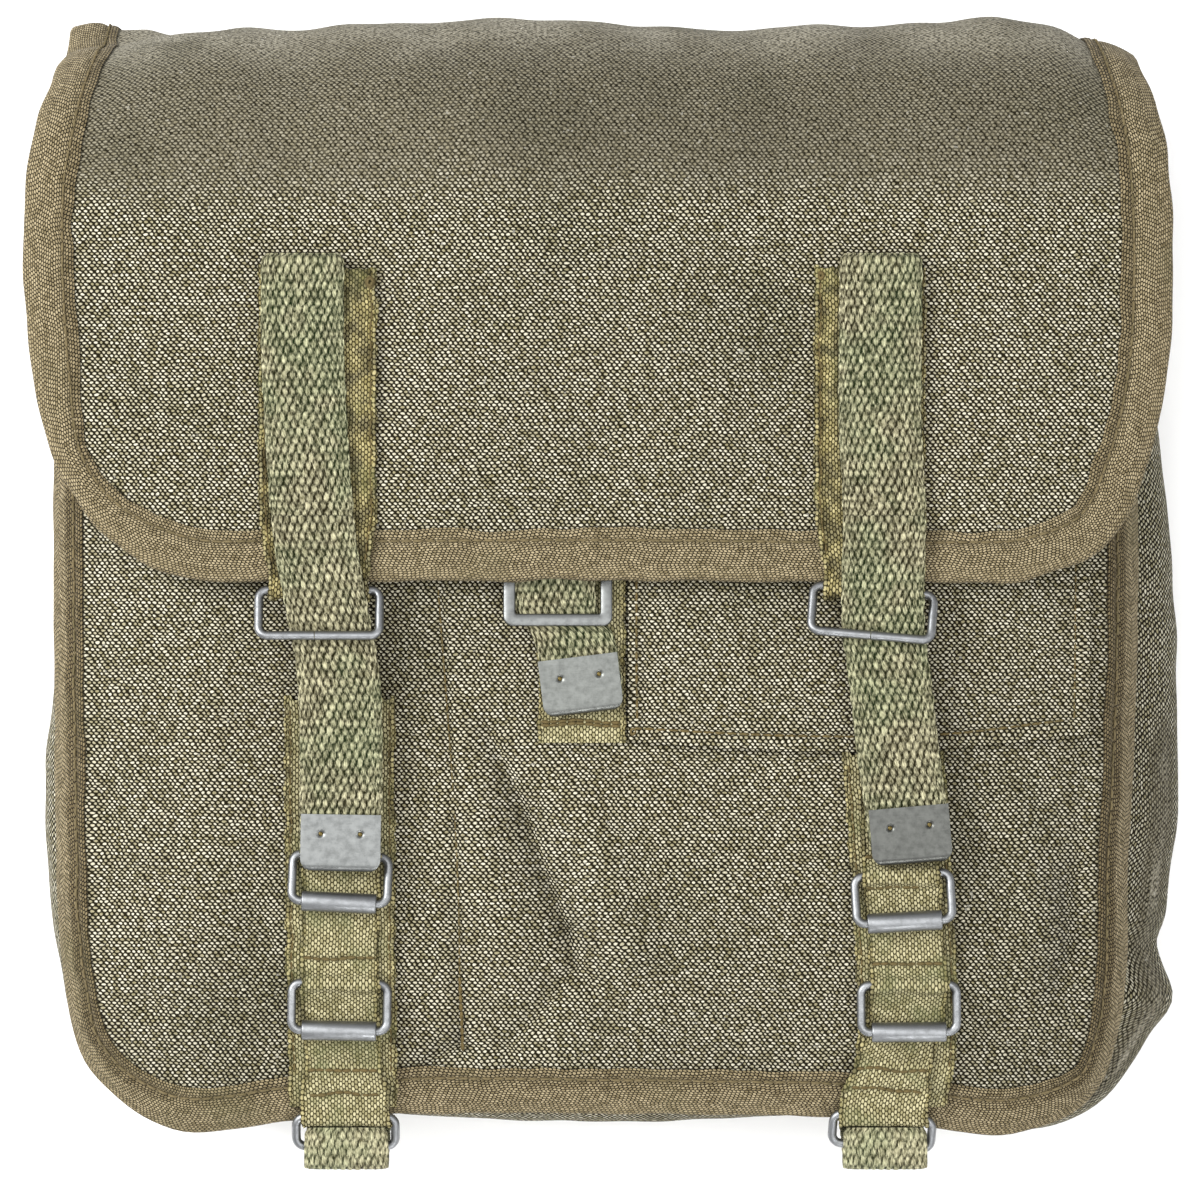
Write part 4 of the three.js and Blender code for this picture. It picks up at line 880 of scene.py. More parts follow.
def ease(value, start, end):
    """Smooth step from 0 at the start to 1 at the end."""
    share = np.clip((value - start) / (end - start), 0, 1)
    return share * share * (3 - 2 * share)


def fall(share):
    """Falls smoothly from 1 at an edge to 0 where the share of the reach is 1."""
    return (1 - np.minimum(share, 1)) ** 2


def hump(away, spread):
    """Soft hump: 1 where away is 0, falling off over the spread."""
    return np.exp(-(away / spread) ** 2)


def wobble(x, y, size, seed):
    """Smooth unevenness between about -1 and 1, with bumps of about the given size."""
    rng = np.random.default_rng(seed)
    total = 0
    for _ in range(WAVES):
        angle, phase = rng.uniform(0, 2 * math.pi, 2)
        wave = size * rng.uniform(*WAVE_SIZES)
        total = total + np.sin((x * math.cos(angle) + y * math.sin(angle)) * 2 * math.pi / wave + phase)
    return total / (WAVES / 2)


def bumps(x, y, rows, seed=0):
    """Sum of several sizes of unevenness, given as rows of height, size and seed."""
    return sum(height * wobble(x, y, size, seed + step) for height, size, step in rows)


def ripples(run, rows, seed=0):
    """Unevenness along a line."""
    return bumps(run, 0 * run, rows, seed)


def crease_depth(x, y, creases):
    """Depth of all creases at places on the panel."""
    x, y = np.broadcast_arrays(x, y)
    total = 0
    for start, end, depth, spread in creases:
        line = np.subtract(end, start)
        offset = np.stack([x - start[0], y - start[1]], axis=-1)
        share = np.clip(offset @ line / (line @ line), 0, 1)
        away = np.linalg.norm(offset - share[..., None] * line, axis=-1)
        total = total + depth * hump(away, spread)
    return total


def panel_z(x, y):
    """Height of the front panel's canvas, without the turned seam at its edge."""
    side = np.minimum(x - PANEL_LEFT, PANEL_RIGHT - x)
    bottom = BOTTOM_DROP * fall((y - PANEL_BOTTOM) / BOTTOM_REACH)
    return PANEL_Z - SIDE_DROP * fall(side / SIDE_REACH) - bottom - crease_depth(x, y, CREASES)


def flap_front_z(y):
    """Height of the flap's canvas on the front of the bag."""
    return FLAP_EDGE_Z + (ROLL_Z - FLAP_EDGE_Z) * (y - FLAP_EDGE_Y) / FRONT_RUN


top_reach = reader(TOP_EDGE)


def place_on_flap(x, run):
    """Place of flat points of the flap: up its front, round the roll and down the back."""
    droop = FLAP_DROOP * fall(np.minimum(x - FLAP_LEFT, FLAP_RIGHT - x) / FLAP_DROOP_REACH)
    turn = np.clip((run - FRONT_RUN) / ROLL_RUN, 0, 1) * math.pi
    ear = ease(-x, *EAR_SIDE) * ease(turn, *EAR_TURN)
    reach = top_reach(x) + (EAR_REACH - top_reach(x)) * ear
    lap = np.maximum(run - FRONT_RUN - ROLL_RUN, 0)
    climb = (BACK_EDGE_RISE + GAP) * ease(np.abs(x), *BACK_CLIMB)
    y = np.where(run <= FRONT_RUN, FLAP_EDGE_Y + run, ROLL_Y + reach * np.sin(turn) - lap)
    rolled = ROLL_MID_Z + ROLL_HALF_DEPTH * np.cos(turn)
    rolled = rolled - droop * np.maximum(np.cos(turn), 0) + climb * np.maximum(-np.cos(turn), 0)
    z = np.where(run <= FRONT_RUN, flap_front_z(FLAP_EDGE_Y + run) - droop, rolled)
    return np.stack([x, y, z], axis=-1)


def outward_of(rim):
    """Flat direction out of a rim that runs down the left, along the bottom and up the right."""
    tangent = unit(np.gradient(rim, axis=0))
    return np.stack([tangent[:, 1], -tangent[:, 0]], axis=1)


def nearest_on(line, points):
    """Distance from each flat point to a line of points, and the nearest place on it."""
    distance = np.empty(len(points))
    index = np.empty(len(points), int)
    for start in range(0, len(points), CHUNK):
        some = slice(start, start + CHUNK)
        gaps = np.linalg.norm(points[some, None] - line[None], axis=2)
        index[some] = gaps.argmin(axis=1)
        distance[some] = gaps.min(axis=1)
    return distance, index


def raised(flat, z):
    """Flat points with their heights added."""
    return np.concatenate([flat, z[..., None]], axis=-1)


def run_across(grid):
    """Length along each row of a grid, from its start to each point."""
    return np.cumsum(np.linalg.norm(np.diff(grid, axis=1, prepend=grid[:, :1]), axis=2), axis=1)


def sideways(sway):
    """Moves of points along X alone."""
    return np.stack([sway, 0 * sway, 0 * sway], axis=-1)


def upward(count):
    """Normals that all point straight up."""
    return np.tile([0.0, 0.0, 1.0], (count, 1))


def patch(rim, corners, top, rows, columns):
    """Flat grid inside a rim that is split at two lower corners and closed by a straight top."""
    left_corner, right_corner = (int(np.linalg.norm(rim - corner, axis=1).argmin()) for corner in corners)
    left = evenly(rim[:left_corner + 1][::-1], rows)[:, None]
    right = evenly(rim[right_corner:], rows)[:, None]
    low = evenly(rim[left_corner:right_corner + 1], columns)[None]
    high = np.stack([np.linspace(rim[0, 0], rim[-1, 0], columns), np.full(columns, top)], axis=1)[None]
    up = np.linspace(0, 1, rows)[:, None, None]
    over = np.linspace(0, 1, columns)[None, :, None]
    sides = (1 - over) * left + over * right
    ends = (1 - up) * low + up * high
    lows = (1 - over) * low[:, :1] + over * low[:, -1:]
    highs = (1 - over) * high[:, :1] + over * high[:, -1:]
    return sides + ends - (1 - up) * lows - up * highs


# Meshes.

def grid_faces(rows, columns):
    corner = (np.arange(rows - 1)[:, None] * columns + np.arange(columns - 1)).ravel()
    return np.stack([corner, corner + 1, corner + columns + 1, corner + columns], axis=1)


def signed_volume(points, quads):
    a, b, c, d = (points[quads[:, i]] for i in range(4))
    return np.sum(a * np.cross(b, c)) + np.sum(a * np.cross(c, d))


def add_mesh(name, points, quads, material, marks=None, body="bag", slot=None, sharp=SHARP_EDGE):
    """One piece from points in millimetres and four-sided faces, turned outwards and riding on a body."""
    if signed_volume(points, quads) < 0:
        quads = quads[:, ::-1]
    mesh = bpy.data.meshes.new(name)
    mesh.from_pydata(((points + SHIFT) * MM).tolist(), [], quads.tolist())
    if marks is not None:
        layer = mesh.attributes.new("weave", "FLOAT_VECTOR", "POINT")
        layer.data.foreach_set("vector", np.ascontiguousarray(marks, dtype=np.float32).ravel())
    mesh.shade_smooth()
    mesh.set_sharp_from_angle(angle=math.radians(sharp))
    mesh.materials.append(material)
    piece = bpy.data.objects.new(name, mesh)
    bpy.context.scene.collection.objects.link(piece)
    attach(piece, body)
    return piece


def grid_normals(grid):
    return unit(np.cross(np.gradient(grid, axis=1), np.gradient(grid, axis=0)))


def thick_sheet(grid, normals, thickness, relief=0.0):
    """Points and faces of a sheet thickened to both sides, with its relief on both faces."""
    rows, columns = grid.shape[:2]
    half = (np.zeros((rows, columns)) + thickness / 2 + relief)[..., None]
    points = np.concatenate([(grid + normals * half).reshape(-1, 3), (grid - normals * half).reshape(-1, 3)])
    count = rows * columns
    front = grid_faces(rows, columns)
    index = np.arange(count).reshape(rows, columns)
    ring = np.concatenate([index[0, :-1], index[:-1, -1], index[-1, :0:-1], index[:0:-1, 0]])
    after = np.roll(ring, -1)
    walls = np.stack([after, ring, ring + count, after + count], axis=1)
    return points, np.concatenate([front, front[:, ::-1] + count, walls])


def both_faces(across, along, extra):
    """Marks of a thickened sheet: one weave on both faces, which goes on over the cut edges."""
    marks = np.stack(np.broadcast_arrays(across, along, extra), axis=-1).reshape(-1, 3)
    return np.concatenate([marks, marks + [CANVAS, CANVAS, 0]])


def joined(parts):
    """Points and faces of several meshes as one."""
    starts = np.cumsum([0] + [len(points) for points, _ in parts[:-1]])
    points = np.concatenate([points for points, _ in parts])
    return points, np.concatenate([faces + start for (_, faces), start in zip(parts, starts)])


def swept(sections, closed_path=False):
    """Points and faces of closed sections swept in order, with flat fans of quads at open ends."""
    count, sides = sections.shape[:2]
    points = sections.reshape(-1, 3)
    i = np.arange(count if closed_path else count - 1)[:, None]
    j = np.arange(sides)[None]
    this, following = i * sides, ((i + 1) % count) * sides
    quads = np.stack([this + j, this + (j + 1) % sides, following + (j + 1) % sides, following + j], axis=-1)
    quads = quads.reshape(-1, 4)
    if closed_path:
        return points, quads
    last = (count - 1) * sides
    pairs = np.arange(sides // 2 - 1)
    cap = np.stack([pairs, sides - 1 - pairs, sides - 2 - pairs, pairs + 1], axis=1)
    return points, np.concatenate([quads, cap, cap[:, ::-1] + last])


def tube(line, radii, sides):
    """Points and faces of a round tube along a line."""
    line = np.asarray(line, float)
    tangent = unit(np.gradient(line, axis=0))
    guide = np.where(np.abs(tangent[:, 2:]) < 0.9, [[0.0, 0.0, 1.0]], [[0.0, 1.0, 0.0]])
    side = unit(np.cross(tangent, guide))
    up = np.cross(side, tangent)
    angle = np.linspace(0, 2 * math.pi, sides, endpoint=False)[None, :, None]
    ring = np.cos(angle) * side[:, None] + np.sin(angle) * up[:, None]
    radii = np.broadcast_to(radii, len(line))[:, None, None]
    return swept(line[:, None] + radii * ring)


# Sewing.

def stitches(line, normals, size, seed):
    """Row of stitches along a line: each a short arched thread whose ends dip into the cloth."""
    rng = np.random.default_rng(seed)
    runs = run_of(line)
    pitch = size["length"] + size["gap"]
    count = max(1, int(runs[-1] / pitch))
    starts = np.arange(count) * pitch + rng.uniform(-STITCH_SHIFT, STITCH_SHIFT, count)
    slant = np.linspace(-1, 1, len(STITCH_SHARES))
    parts = []
    for start in starts:
        at = np.clip(start + STITCH_SHARES * size["length"], 0, runs[-1])
        spine = np.stack([np.interp(at, runs, column) for column in line.T], axis=1)
        up = np.stack([np.interp(at, runs, column) for column in normals.T], axis=1)
        radius = size["radius"] * rng.uniform(*STITCH_SIZES)
        along = unit(spine[-1] - spine[0])
        aside = unit(np.cross(along, up[2]))
        sway = rng.uniform(-STITCH_SWAY, STITCH_SWAY) * size["radius"] * slant
        spine = spine + up * (STITCH_ARCH * radius)[:, None] + aside * sway[:, None]
        parts.append(tube(spine, STITCH_THICK * radius, STITCH_SIDES))
    return joined(parts)


def thread_lump(place, seed):
    """Small knot of thread left where a seam was fastened off."""
    rng = np.random.default_rng(seed)
    turn = np.linspace(0, LUMP_TURNS * 2 * math.pi, LUMP_POINTS) + rng.uniform(0, 2 * math.pi)
    wide = np.linspace(*LUMP_WIDTHS, LUMP_POINTS) * rng.uniform(*LUMP_SIZES)
    rise = np.linspace(*LUMP_RISE, LUMP_POINTS)
    curl = np.stack([wide * np.cos(turn), LUMP_LONGER * wide * np.sin(turn), rise], axis=1)
    return tube(place + curl, LUMP_RADIUS, STITCH_SIDES)


# Cloth body.

def add_canvas(name, node, grid, normals, marks, canvas):
    """Canvas piece from a grid and its weave (across, along, wear and painted shade)."""
    points, quads = thick_sheet(grid, normals, CANVAS)
    piece = add_mesh(name, points, quads, canvas, both_faces(*marks), slot="canvas")
    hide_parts(node)


def front_seam(side):
    """Width of the front panel's seam: narrower where the rim runs along a side."""
    return FLAT_SEAM + (TURNED_SEAM - FLAT_SEAM) * side


def lay_front(flat):
    """Place of flat points of the front panel, with its folds and its turned edge."""
    inset, index = nearest_on(front_rim, flat.reshape(-1, 2))
    side = (front_out[index, 0] ** 2).reshape(flat.shape[:-1])
    inset = inset.reshape(flat.shape[:-1])
    x, y = flat[..., 0], flat[..., 1]
    turned = TURNED_DIP * side * np.clip(1 - inset / front_seam(side), 0, 1)
    dip = SEAM_DIP * side * hump(inset - front_seam(side) - SEAM_DIP_INSET, SEAM_DIP_SPREAD)
    folds = crease_depth(x, y, FINE_CREASES) - bumps(x, y, FRONT_BUMPS)
    return np.stack([x, y, panel_z(x, y) - turned - dip - ease(inset, *FOLDS_BEGIN) * folds], axis=-1)


front_rim = curve_through(FRONT_RIM, FRONT_RIM_POINTS)
front_out = outward_of(front_rim)


def add_front(canvas):
    """Front panel, rubbed near its bottom."""
    rows = int((MOUTH_Y - PANEL_BOTTOM) / CLOTH_SPACING)
    columns = int((PANEL_RIGHT - PANEL_LEFT) / CLOTH_SPACING)
    flat = patch(front_rim, FRONT_CORNERS, MOUTH_Y, rows, columns)
    x, y = flat[..., 0], flat[..., 1]
    grid = lay_front(flat)
    marks = (x, y, FRONT_WEAR * ease(-y, *FRONT_WEAR_DOWN))
    add_canvas("front_cloth", "front_panel", grid, grid_normals(grid), marks, canvas)


def back_z(inset):
    """Height of the back panel's canvas: its edge is off the ground."""
    return CANVAS / 2 + BACK_EDGE_RISE * (1 - np.clip((inset - BACK_SEAM) / BACK_RAMP, 0, 1))


def back_rim_rows():
    """Rim of the back panel, a little smaller than the front's."""
    return [(x * BACK_SHARE, y * BACK_SHARE if y < 0 else y) for x, y in FRONT_RIM]


def add_back(canvas):
    """Back panel, flat on the ground."""
    rim = curve_through(back_rim_rows(), BACK_RIM_POINTS)
    corners = tuple((x * BACK_SHARE, y * BACK_SHARE) for x, y in FRONT_CORNERS)
    flat = patch(rim, corners, MOUTH_Y, *BACK_GRID)
    inset, _ = nearest_on(rim, flat.reshape(-1, 2))
    grid = raised(flat, back_z(inset).reshape(flat.shape[:-1]))
    marks = (flat[..., 0], flat[..., 1], BACK_WEAR)
    add_canvas("back_cloth", "back_panel", grid, grid_normals(grid), marks, canvas)


def add_gusset(canvas):
    """Side strip: a section swept along the seams, bulging, puckered and rubbed along its right side."""
    front = curve_through(FRONT_RIM, GUSSET_STEPS)
    back = curve_through(back_rim_rows(), GUSSET_STEPS)
    out = outward_of(front)
    top = front - out * (front_seam(out[:, :1] ** 2) + GUSSET_INSET)
    foot = back - outward_of(back) * (BACK_SEAM + GUSSET_INSET)
    top_z = panel_z(top[:, 0], top[:, 1]) - CANVAS / 2 - GUSSET_FRONT_DROP
    foot_z = back_z(BACK_SEAM + GUSSET_INSET) + CANVAS / 2 + GUSSET_BACK_LIFT
    section = curve_through(GUSSET_SECTION, GUSSET_SECTION_POINTS)
    bulged = section[None, :, 0]
    up = section[None, :, 1]
    share = np.linspace(0, 1, GUSSET_STEPS)
    swell = bulged * reader(GUSSET_BULGE)(share)[:, None]
    along = run_of(front)[:, None]
    tall = up * (top_z - foot_z)[:, None]
    ripple = bumps(along, tall * GUSSET_RIPPLE_STRETCH, GUSSET_RIPPLES)
    folds = bulged * (bumps(along, tall, GUSSET_BUMPS) + ripple)
    on_right = ease(front[:, 0], *GUSSET_RIGHT)[:, None]
    for y, size, spread in GUSSET_PUCKERS:
        folds = folds + on_right * bulged * size * hump(front[:, 1:] - y, spread)
    top = raised(top, top_z)[:, None]
    foot = raised(foot, np.full(GUSSET_STEPS, foot_z))[:, None]
    outward = raised(out, np.zeros(GUSSET_STEPS))[:, None]
    grid = foot + (top - foot) * up[..., None] + outward * (swell + folds)[..., None]
    tall = run_across(grid)
    streak = STREAK * ease(share, *STREAK_START)[:, None] * ease(1 - share, *STREAK_END)[:, None]
    streak = streak * hump(up - STREAK_UP, STREAK_SPREAD)
    add_canvas("gusset_cloth", "gusset", grid, grid_normals(grid), (along, tall, streak), canvas)


def add_flap(canvas):
    """Flap: dented, pressed in under the tops of the straps, and rubbed over the roll, with painted shade and
    painted sheen there.
    """
    rim = curve_through(FLAP_RIM, FLAP_RIM_POINTS)
    rows = int(FLAP_RUN / CLOTH_SPACING)
    columns = int((FLAP_RIGHT - FLAP_LEFT) / CLOTH_SPACING)
    flat = patch(rim, FLAP_CORNERS, FLAP_RUN, rows, columns)
    x, run = flat[..., 0], flat[..., 1]
    grid = place_on_flap(x, run)
    inset, _ = nearest_on(rim, flat.reshape(-1, 2))
    inner = ease(inset.reshape(x.shape), *DENTS_BEGIN) * ease(FLAP_RUN - run, *DENTS_END)
    rolled = ease(run, *ROLL_DENTS_BEGIN)
    dents = bumps(x, run, FLAP_BUMPS) + rolled * bumps(x, run * ROLL_DENTS_STRETCH, ROLL_BUMPS)
    pressed = sum(hump(x - middle, PRESSED["wide"]) for middle in PRESSED["middles"])
    pressed = PRESSED["depth"] * hump(run - PRESSED["run"], PRESSED["tall"]) * pressed
    grid = grid + grid_normals(grid) * (inner * (dents - pressed))[..., None]
    # Rubbed pale over the top of the roll, partly as painted sheen.
    rubbed = ROLL_RUB_AND_SHEEN * ease(run, *ROLL_RUB_AND_SHEEN_START) * (1 - ease(run, *ROLL_RUB_AND_SHEEN_END))
    marks = (x, run, ease(run, *ROLL_FADE_AND_SHADE) + rubbed)
    add_canvas("flap_cloth", "flap", grid, grid_normals(grid), marks, canvas)


def add_pocket_flap(canvas):
    """Pocket flap: a sagging lower edge, a thicker hem and a shallow groove where the hem is sewn."""
    down = np.linspace(0, 1, POCKET_GRID[0])[:, None]
    share = np.linspace(0, 1, POCKET_GRID[1])[None]
    low_ends = POCKET["low_left"] + (POCKET["low_right"] - POCKET["low_left"]) * share
    sag = (POCKET["low_middle"] - (POCKET["low_left"] + POCKET["low_right"]) / 2) * np.sin(math.pi * share)
    x = POCKET["left"] + (POCKET["right"] - POCKET["left"]) * share + 0 * down
    y = POCKET["top"] + (low_ends + sag - POCKET["top"]) * down
    edge = np.minimum(np.minimum(share, 1 - share) * POCKET_SIZE[0], (1 - down) * POCKET_SIZE[1])
    groove = POCKET_GROOVE["depth"] * hump(edge - POCKET_GROOVE["inset"], POCKET_GROOVE["spread"])
    z = panel_z(x, y) + CANVAS + POCKET_LIFT + bumps(x, y, POCKET_BUMPS) - groove
    z = z + POCKET_HEM * (1 - ease(edge, *POCKET_HEM_INSET))
    grid = np.stack([x, y, z], axis=-1)
    add_canvas("pocket_flap_cloth", "pocket_flap", grid, -grid_normals(grid), (x, y, POCKET_WEAR), canvas)


def add_binding(place, rim, ring, twill):
    """Tape folded over a rim: down from its sewn edge on the front, round the rim and back underneath."""
    looks = BINDINGS[place]
    seed = looks["seed"]
    out = unit(rim - ring)
    normal = unit(np.cross(out, unit(np.gradient(rim, axis=0))))
    width = np.linalg.norm(rim - ring, axis=1)[:, None] * BINDING_SHARE
    half = CANVAS / 2 + GAP + TAPE / 2
    along = run_of(rim)[:, None]
    front = np.linspace(1, BINDING_BEND, BINDING_ROWS["front"])
    turn = np.linspace(math.pi / 2, -math.pi / 2, BINDING_ROWS["rim"])
    back = np.linspace(BINDING_BEND, 1, BINDING_ROWS["back"])
    uneven = ripples(along, BINDING_EDGE_SWAY, seed)
    wave = ripples(along, BINDING_RIM_SWAY, seed)
    front_outs = -front * width + uneven * front ** 2 + wave * (1 - front)
    rim_outs = half * np.cos(turn) + wave + 0 * width
    back_outs = -back * width + wave * (1 - back)
    outs = np.concatenate([front_outs, rim_outs, back_outs], axis=1)

    def swell(share):
        broad = bumps(along, BINDING_SWELL_ACROSS * share, BINDING_SWELL, seed)
        fine = bumps(along, BINDING_PUCKER_ACROSS * share, BINDING_PUCKER, seed)
        return (broad + fine) * np.sin(math.pi * share)

    groove = BINDING_GROOVE[0] * hump(front - BINDING_SEAM, BINDING_GROOVE[1])
    groove = groove + BINDING_PRESS[0] * front ** BINDING_PRESS[1]
    groove = groove - BINDING_CROWN[0] * np.sin(math.pi * np.clip(front / BINDING_CROWN[1], 0, 1))
    front_ups = half + swell(front[None]) - groove
    ups = np.concatenate([front_ups, half * np.sin(turn) + 0 * width, -half + 0 * back * width], axis=1)
    grid = rim[:, None] + outs[..., None] * out[:, None] + ups[..., None] * normal[:, None]
    around = run_across(grid)
    points, quads = thick_sheet(grid, grid_normals(grid), TAPE)
    # Painted shade on the inner band, strongest where the rim runs down a side; the rubbed fold at the rim is
    # wear.
    band = ease(front, looks["band"], looks["band"] + BAND_FADE)
    band = np.concatenate([band, np.zeros(len(turn) + len(back))])
    rubbed = hump(outs - BINDING_RUB[0], BINDING_RUB[1])
    wear_and_shade = rubbed - band * looks["shade"] * (BAND_LEAST + out[:, :1] ** 2)
    marks = both_faces(along, around, wear_and_shade)
    piece = add_mesh(f"{place}_binding_tape", points, quads, twill, marks, slot="binding")
    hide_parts(f"{place}_binding")
    sewn_up = half + TAPE / 2 - BINDING_THREAD_SINK + swell(np.array([[BINDING_SEAM]]))
    return rim - out * (BINDING_SEAM * width) + normal * sewn_up, normal


def front_edge():
    """Rim of the front panel and the line where its seam ends, in space."""
    rim, out = front_rim[::2], front_out[::2]
    side = out[:, 0] ** 2
    inner = rim - out * front_seam(side)[:, None]
    return raised(rim, panel_z(*rim.T) - TURNED_DIP * side), raised(inner, panel_z(*inner.T))


def back_edge():
    """Rim of the back panel and the line where its seam ends, in space."""
    rim = curve_through(back_rim_rows(), BACK_EDGE_POINTS)
    inner = rim - outward_of(rim) * BACK_SEAM
    z = np.full(len(rim), back_z(0))
    return raised(rim, z), raised(inner, z)


def flap_edge():
    """Rim of the flap and the line where its seam ends, in space."""
    rim = curve_through(FLAP_RIM, FLAP_EDGE_POINTS)
    away = np.linalg.norm(rim - NARROW_CORNER, axis=1)[:, None]
    inner = rim - outward_of(rim) * FLAP_SEAM * (1 - NARROW_SHARE * hump(away, NARROW_REACH))
    return place_on_flap(*rim.T), place_on_flap(*inner.T)


# Tapes and straps.

def band_grid(path, centre_at, width_at, tilt_at, columns, spacing):
    """Grid of a flat band that follows a path of y and z, with its normals and its weave's places."""
    path = np.asarray(path, float)
    count = max(8, int(run_of(path)[-1] / spacing))
    line = curve_through(path, count)
    y, z = line.T
    tangent = unit(np.gradient(line, axis=0))
    normal = np.stack([0 * y, tangent[:, 1], -tangent[:, 0]], axis=1)
    across = np.stack([1 + 0 * y, np.tan(np.radians(tilt_at(y))), 0 * y], axis=1)
    across = across - np.sum(across * normal, axis=1, keepdims=True) * normal
    offset = np.linspace(-0.5, 0.5, columns)[None] * np.reshape(width_at(y), (-1, 1))
    centre = np.stack([centre_at(y), y, z], axis=1)
    grid = centre[:, None] + across[:, None] * offset[..., None]
    normals = np.broadcast_to(normal[:, None], grid.shape)
    return grid, normals, offset, run_of(line)[:, None]


def knobs(across, along, width, seed):
    """Height from 0 to 1 of the webbing's leaf-shaped knobs: staggered rows, narrower at the edges."""
    side = across / (width / 2)
    column = across * (1 + WEB_NARROW * side ** 4) / WEB_COLUMN + bumps(across, along, WEB_COLUMN_DRIFT, seed)
    row = along / WEB_ROW + bumps(across, along, WEB_ROW_DRIFT, seed)
    sizes = np.random.default_rng(seed).uniform(*KNOB_SIZES, KNOB_TABLE)
    height = 0
    for step in (0, 1):
        number = np.floor(row) + step
        shifted = column + 0.5 * (number % 2)
        index = np.round(shifted)
        aside = np.abs(shifted - index) / LEAF_HALF[0]
        ahead = np.abs(row - number) / LEAF_HALF[1]
        size = sizes[index.astype(int) % KNOB_TABLE[0], number.astype(int) % KNOB_TABLE[1]]
        leaf = np.clip(1 - aside ** LEAF_POWER - ahead ** LEAF_POWER, 0, 1)
        height = np.maximum(height, size * leaf ** LEAF_ROUND)
    return height


def add_webbing(name, path, centre_at, width, webbing, seed, paled=0.0):
    """Thick webbing with raised knobs on both faces and rounded edges, paler all over where light is painted
    on it.
    """
    columns = int(width / WEB_SPACING)
    grid, normals, across, along = band_grid(path, centre_at, lambda y: width + 0 * y, lambda y: 0 * y,
                                             columns, WEB_SPACING)
    edge = np.abs(across) / (width / 2)
    sway = np.sign(across) * edge ** 4 * ripples(along, WEB_EDGE_SWAY, seed)
    sway = sway - WEB_END_PINCH * across * ease(WEB_END - along, 0, WEB_END) ** 2
    height = knobs(across, along, width, seed)
    dip = WEB_END_DIP * ease(WEB_END_DIP_REACH - along, 0, WEB_END_DIP_REACH)
    relief = WEB_RELIEF * height - WEB_EDGE_ROUND * (WEBBING / 2) * edge ** 10 - dip
    points, quads = thick_sheet(grid + sideways(sway), normals, WEBBING - WEB_RELIEF, relief)
    # Painted light raises the knob mark, which makes the webbing paler.
    marks = both_faces(across, along, height + paled)
    piece = add_mesh(name, points, quads, webbing, marks, slot="webbing", sharp=WEB_SHARP)
    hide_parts(name.replace("_webbing", ""))
    width * MM


def add_tape(name, path, centre_at, width_at, tilt_at, tape, seed,
             ground=None, frayed=0.0, pleats=(), crumple_and_shade=0.0):
    """Flat tape with uneven corded edges and slight puckers, with pleats and a frayed top end if asked."""
    grid, normals, across, along = band_grid(path, centre_at, lambda y: width_at(y) - 2 * CORD_RADIUS,
                                             tilt_at, TAPE_COLUMNS, TAPE_SPACING)
    half = np.abs(across).max(axis=1, keepdims=True)
    edge = np.abs(across) / half
    side = np.sign(across)
    sway = side * edge ** 3 * bumps(along, side * TAPE_EDGES_APART, TAPE_EDGE_SWAY, seed)
    pucker = bumps(across, along, TAPE_PUCKER, seed)
    crush_across, crush_along = TAPE_CRUSH_STRETCH
    pucker = pucker + crumple_and_shade * bumps(across * crush_across, along * crush_along, TAPE_CRUSH, seed)
    for pleat in pleats:
        bent = grid[..., 1] - pleat - bumps(across, 0 * along, PLEAT_SWAY, seed)
        pucker = pucker + PLEAT_RIDGE[0] * hump(bent - PLEAT_RIDGE[1], PLEAT_RIDGE[2])
        pucker = pucker - PLEAT_GROOVE[0] * hump(bent, PLEAT_GROOVE[1])
    grid = grid + sideways(sway) + normals * pucker[..., None]
    if ground is not None:
        grid[..., 2] += ground(grid[..., 0], grid[..., 1])
    if frayed:
        threads = np.random.default_rng(seed).uniform(*FRAY_ENDS, TAPE_COLUMNS)
        grid[..., 1] += frayed * threads[None] * ease(FRAY_REACH - along, 0, FRAY_REACH)
    parts = [thick_sheet(grid, normals, TAPE)]
    # Painted shade at the tape's edges, and on its crumples if asked.
    marks = [both_faces(across, along, TAPE_EDGE_SHADE * edge ** 10 + TAPE_CRUMPLE_SHADE * crumple_and_shade)]
    for number, column in enumerate((0, -1)):
        cord = tape_cord(grid[:, column] + normals[:, column] * CORD_LIFT, seed + number)
        x, y = cord[0][:, 0], cord[0][:, 1]
        parts.append(cord)
        marks.append(np.stack([x * CORD_NARROW, y, CORD_SHADE + 0 * x], axis=1))
    piece = add_mesh(name, *joined(parts), tape, np.concatenate(marks), slot="tape")
    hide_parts(name.replace("_cloth", ""))
    edges = [grid[:, column] + normals[:, column] * (TAPE / 2) for column in (1, -2)]
    return edges, normals[:, 0]


def tape_cord(line, seed):
    """Lumpy cord of overcast yarn along a tape's edge."""
    dense = evenly(line, int(run_of(line)[-1] / CORD_STEP))
    run = run_of(dense)
    sway = np.stack([ripples(run, CORD_SWAY, seed), 0 * run, ripples(run, CORD_RISE, seed)], axis=1)
    wave = np.sin(run * 2 * math.pi / CORD_LUMP + ripples(run, CORD_SHIFT, seed))
    lumps = 1 + CORD_WAVE * wave + ripples(run, CORD_SIZES, seed)
    return tube(dense + sway, CORD_RADIUS * lumps, CORD_SIDES)


def round_bar(y, z, angles):
    """Centre line of a tape round a bar, by angles from the bag's top towards its front."""
    return [(y + LOOP_RADIUS * math.cos(math.radians(angle)), z + LOOP_RADIUS * math.sin(math.radians(angle)))
            for angle in angles]


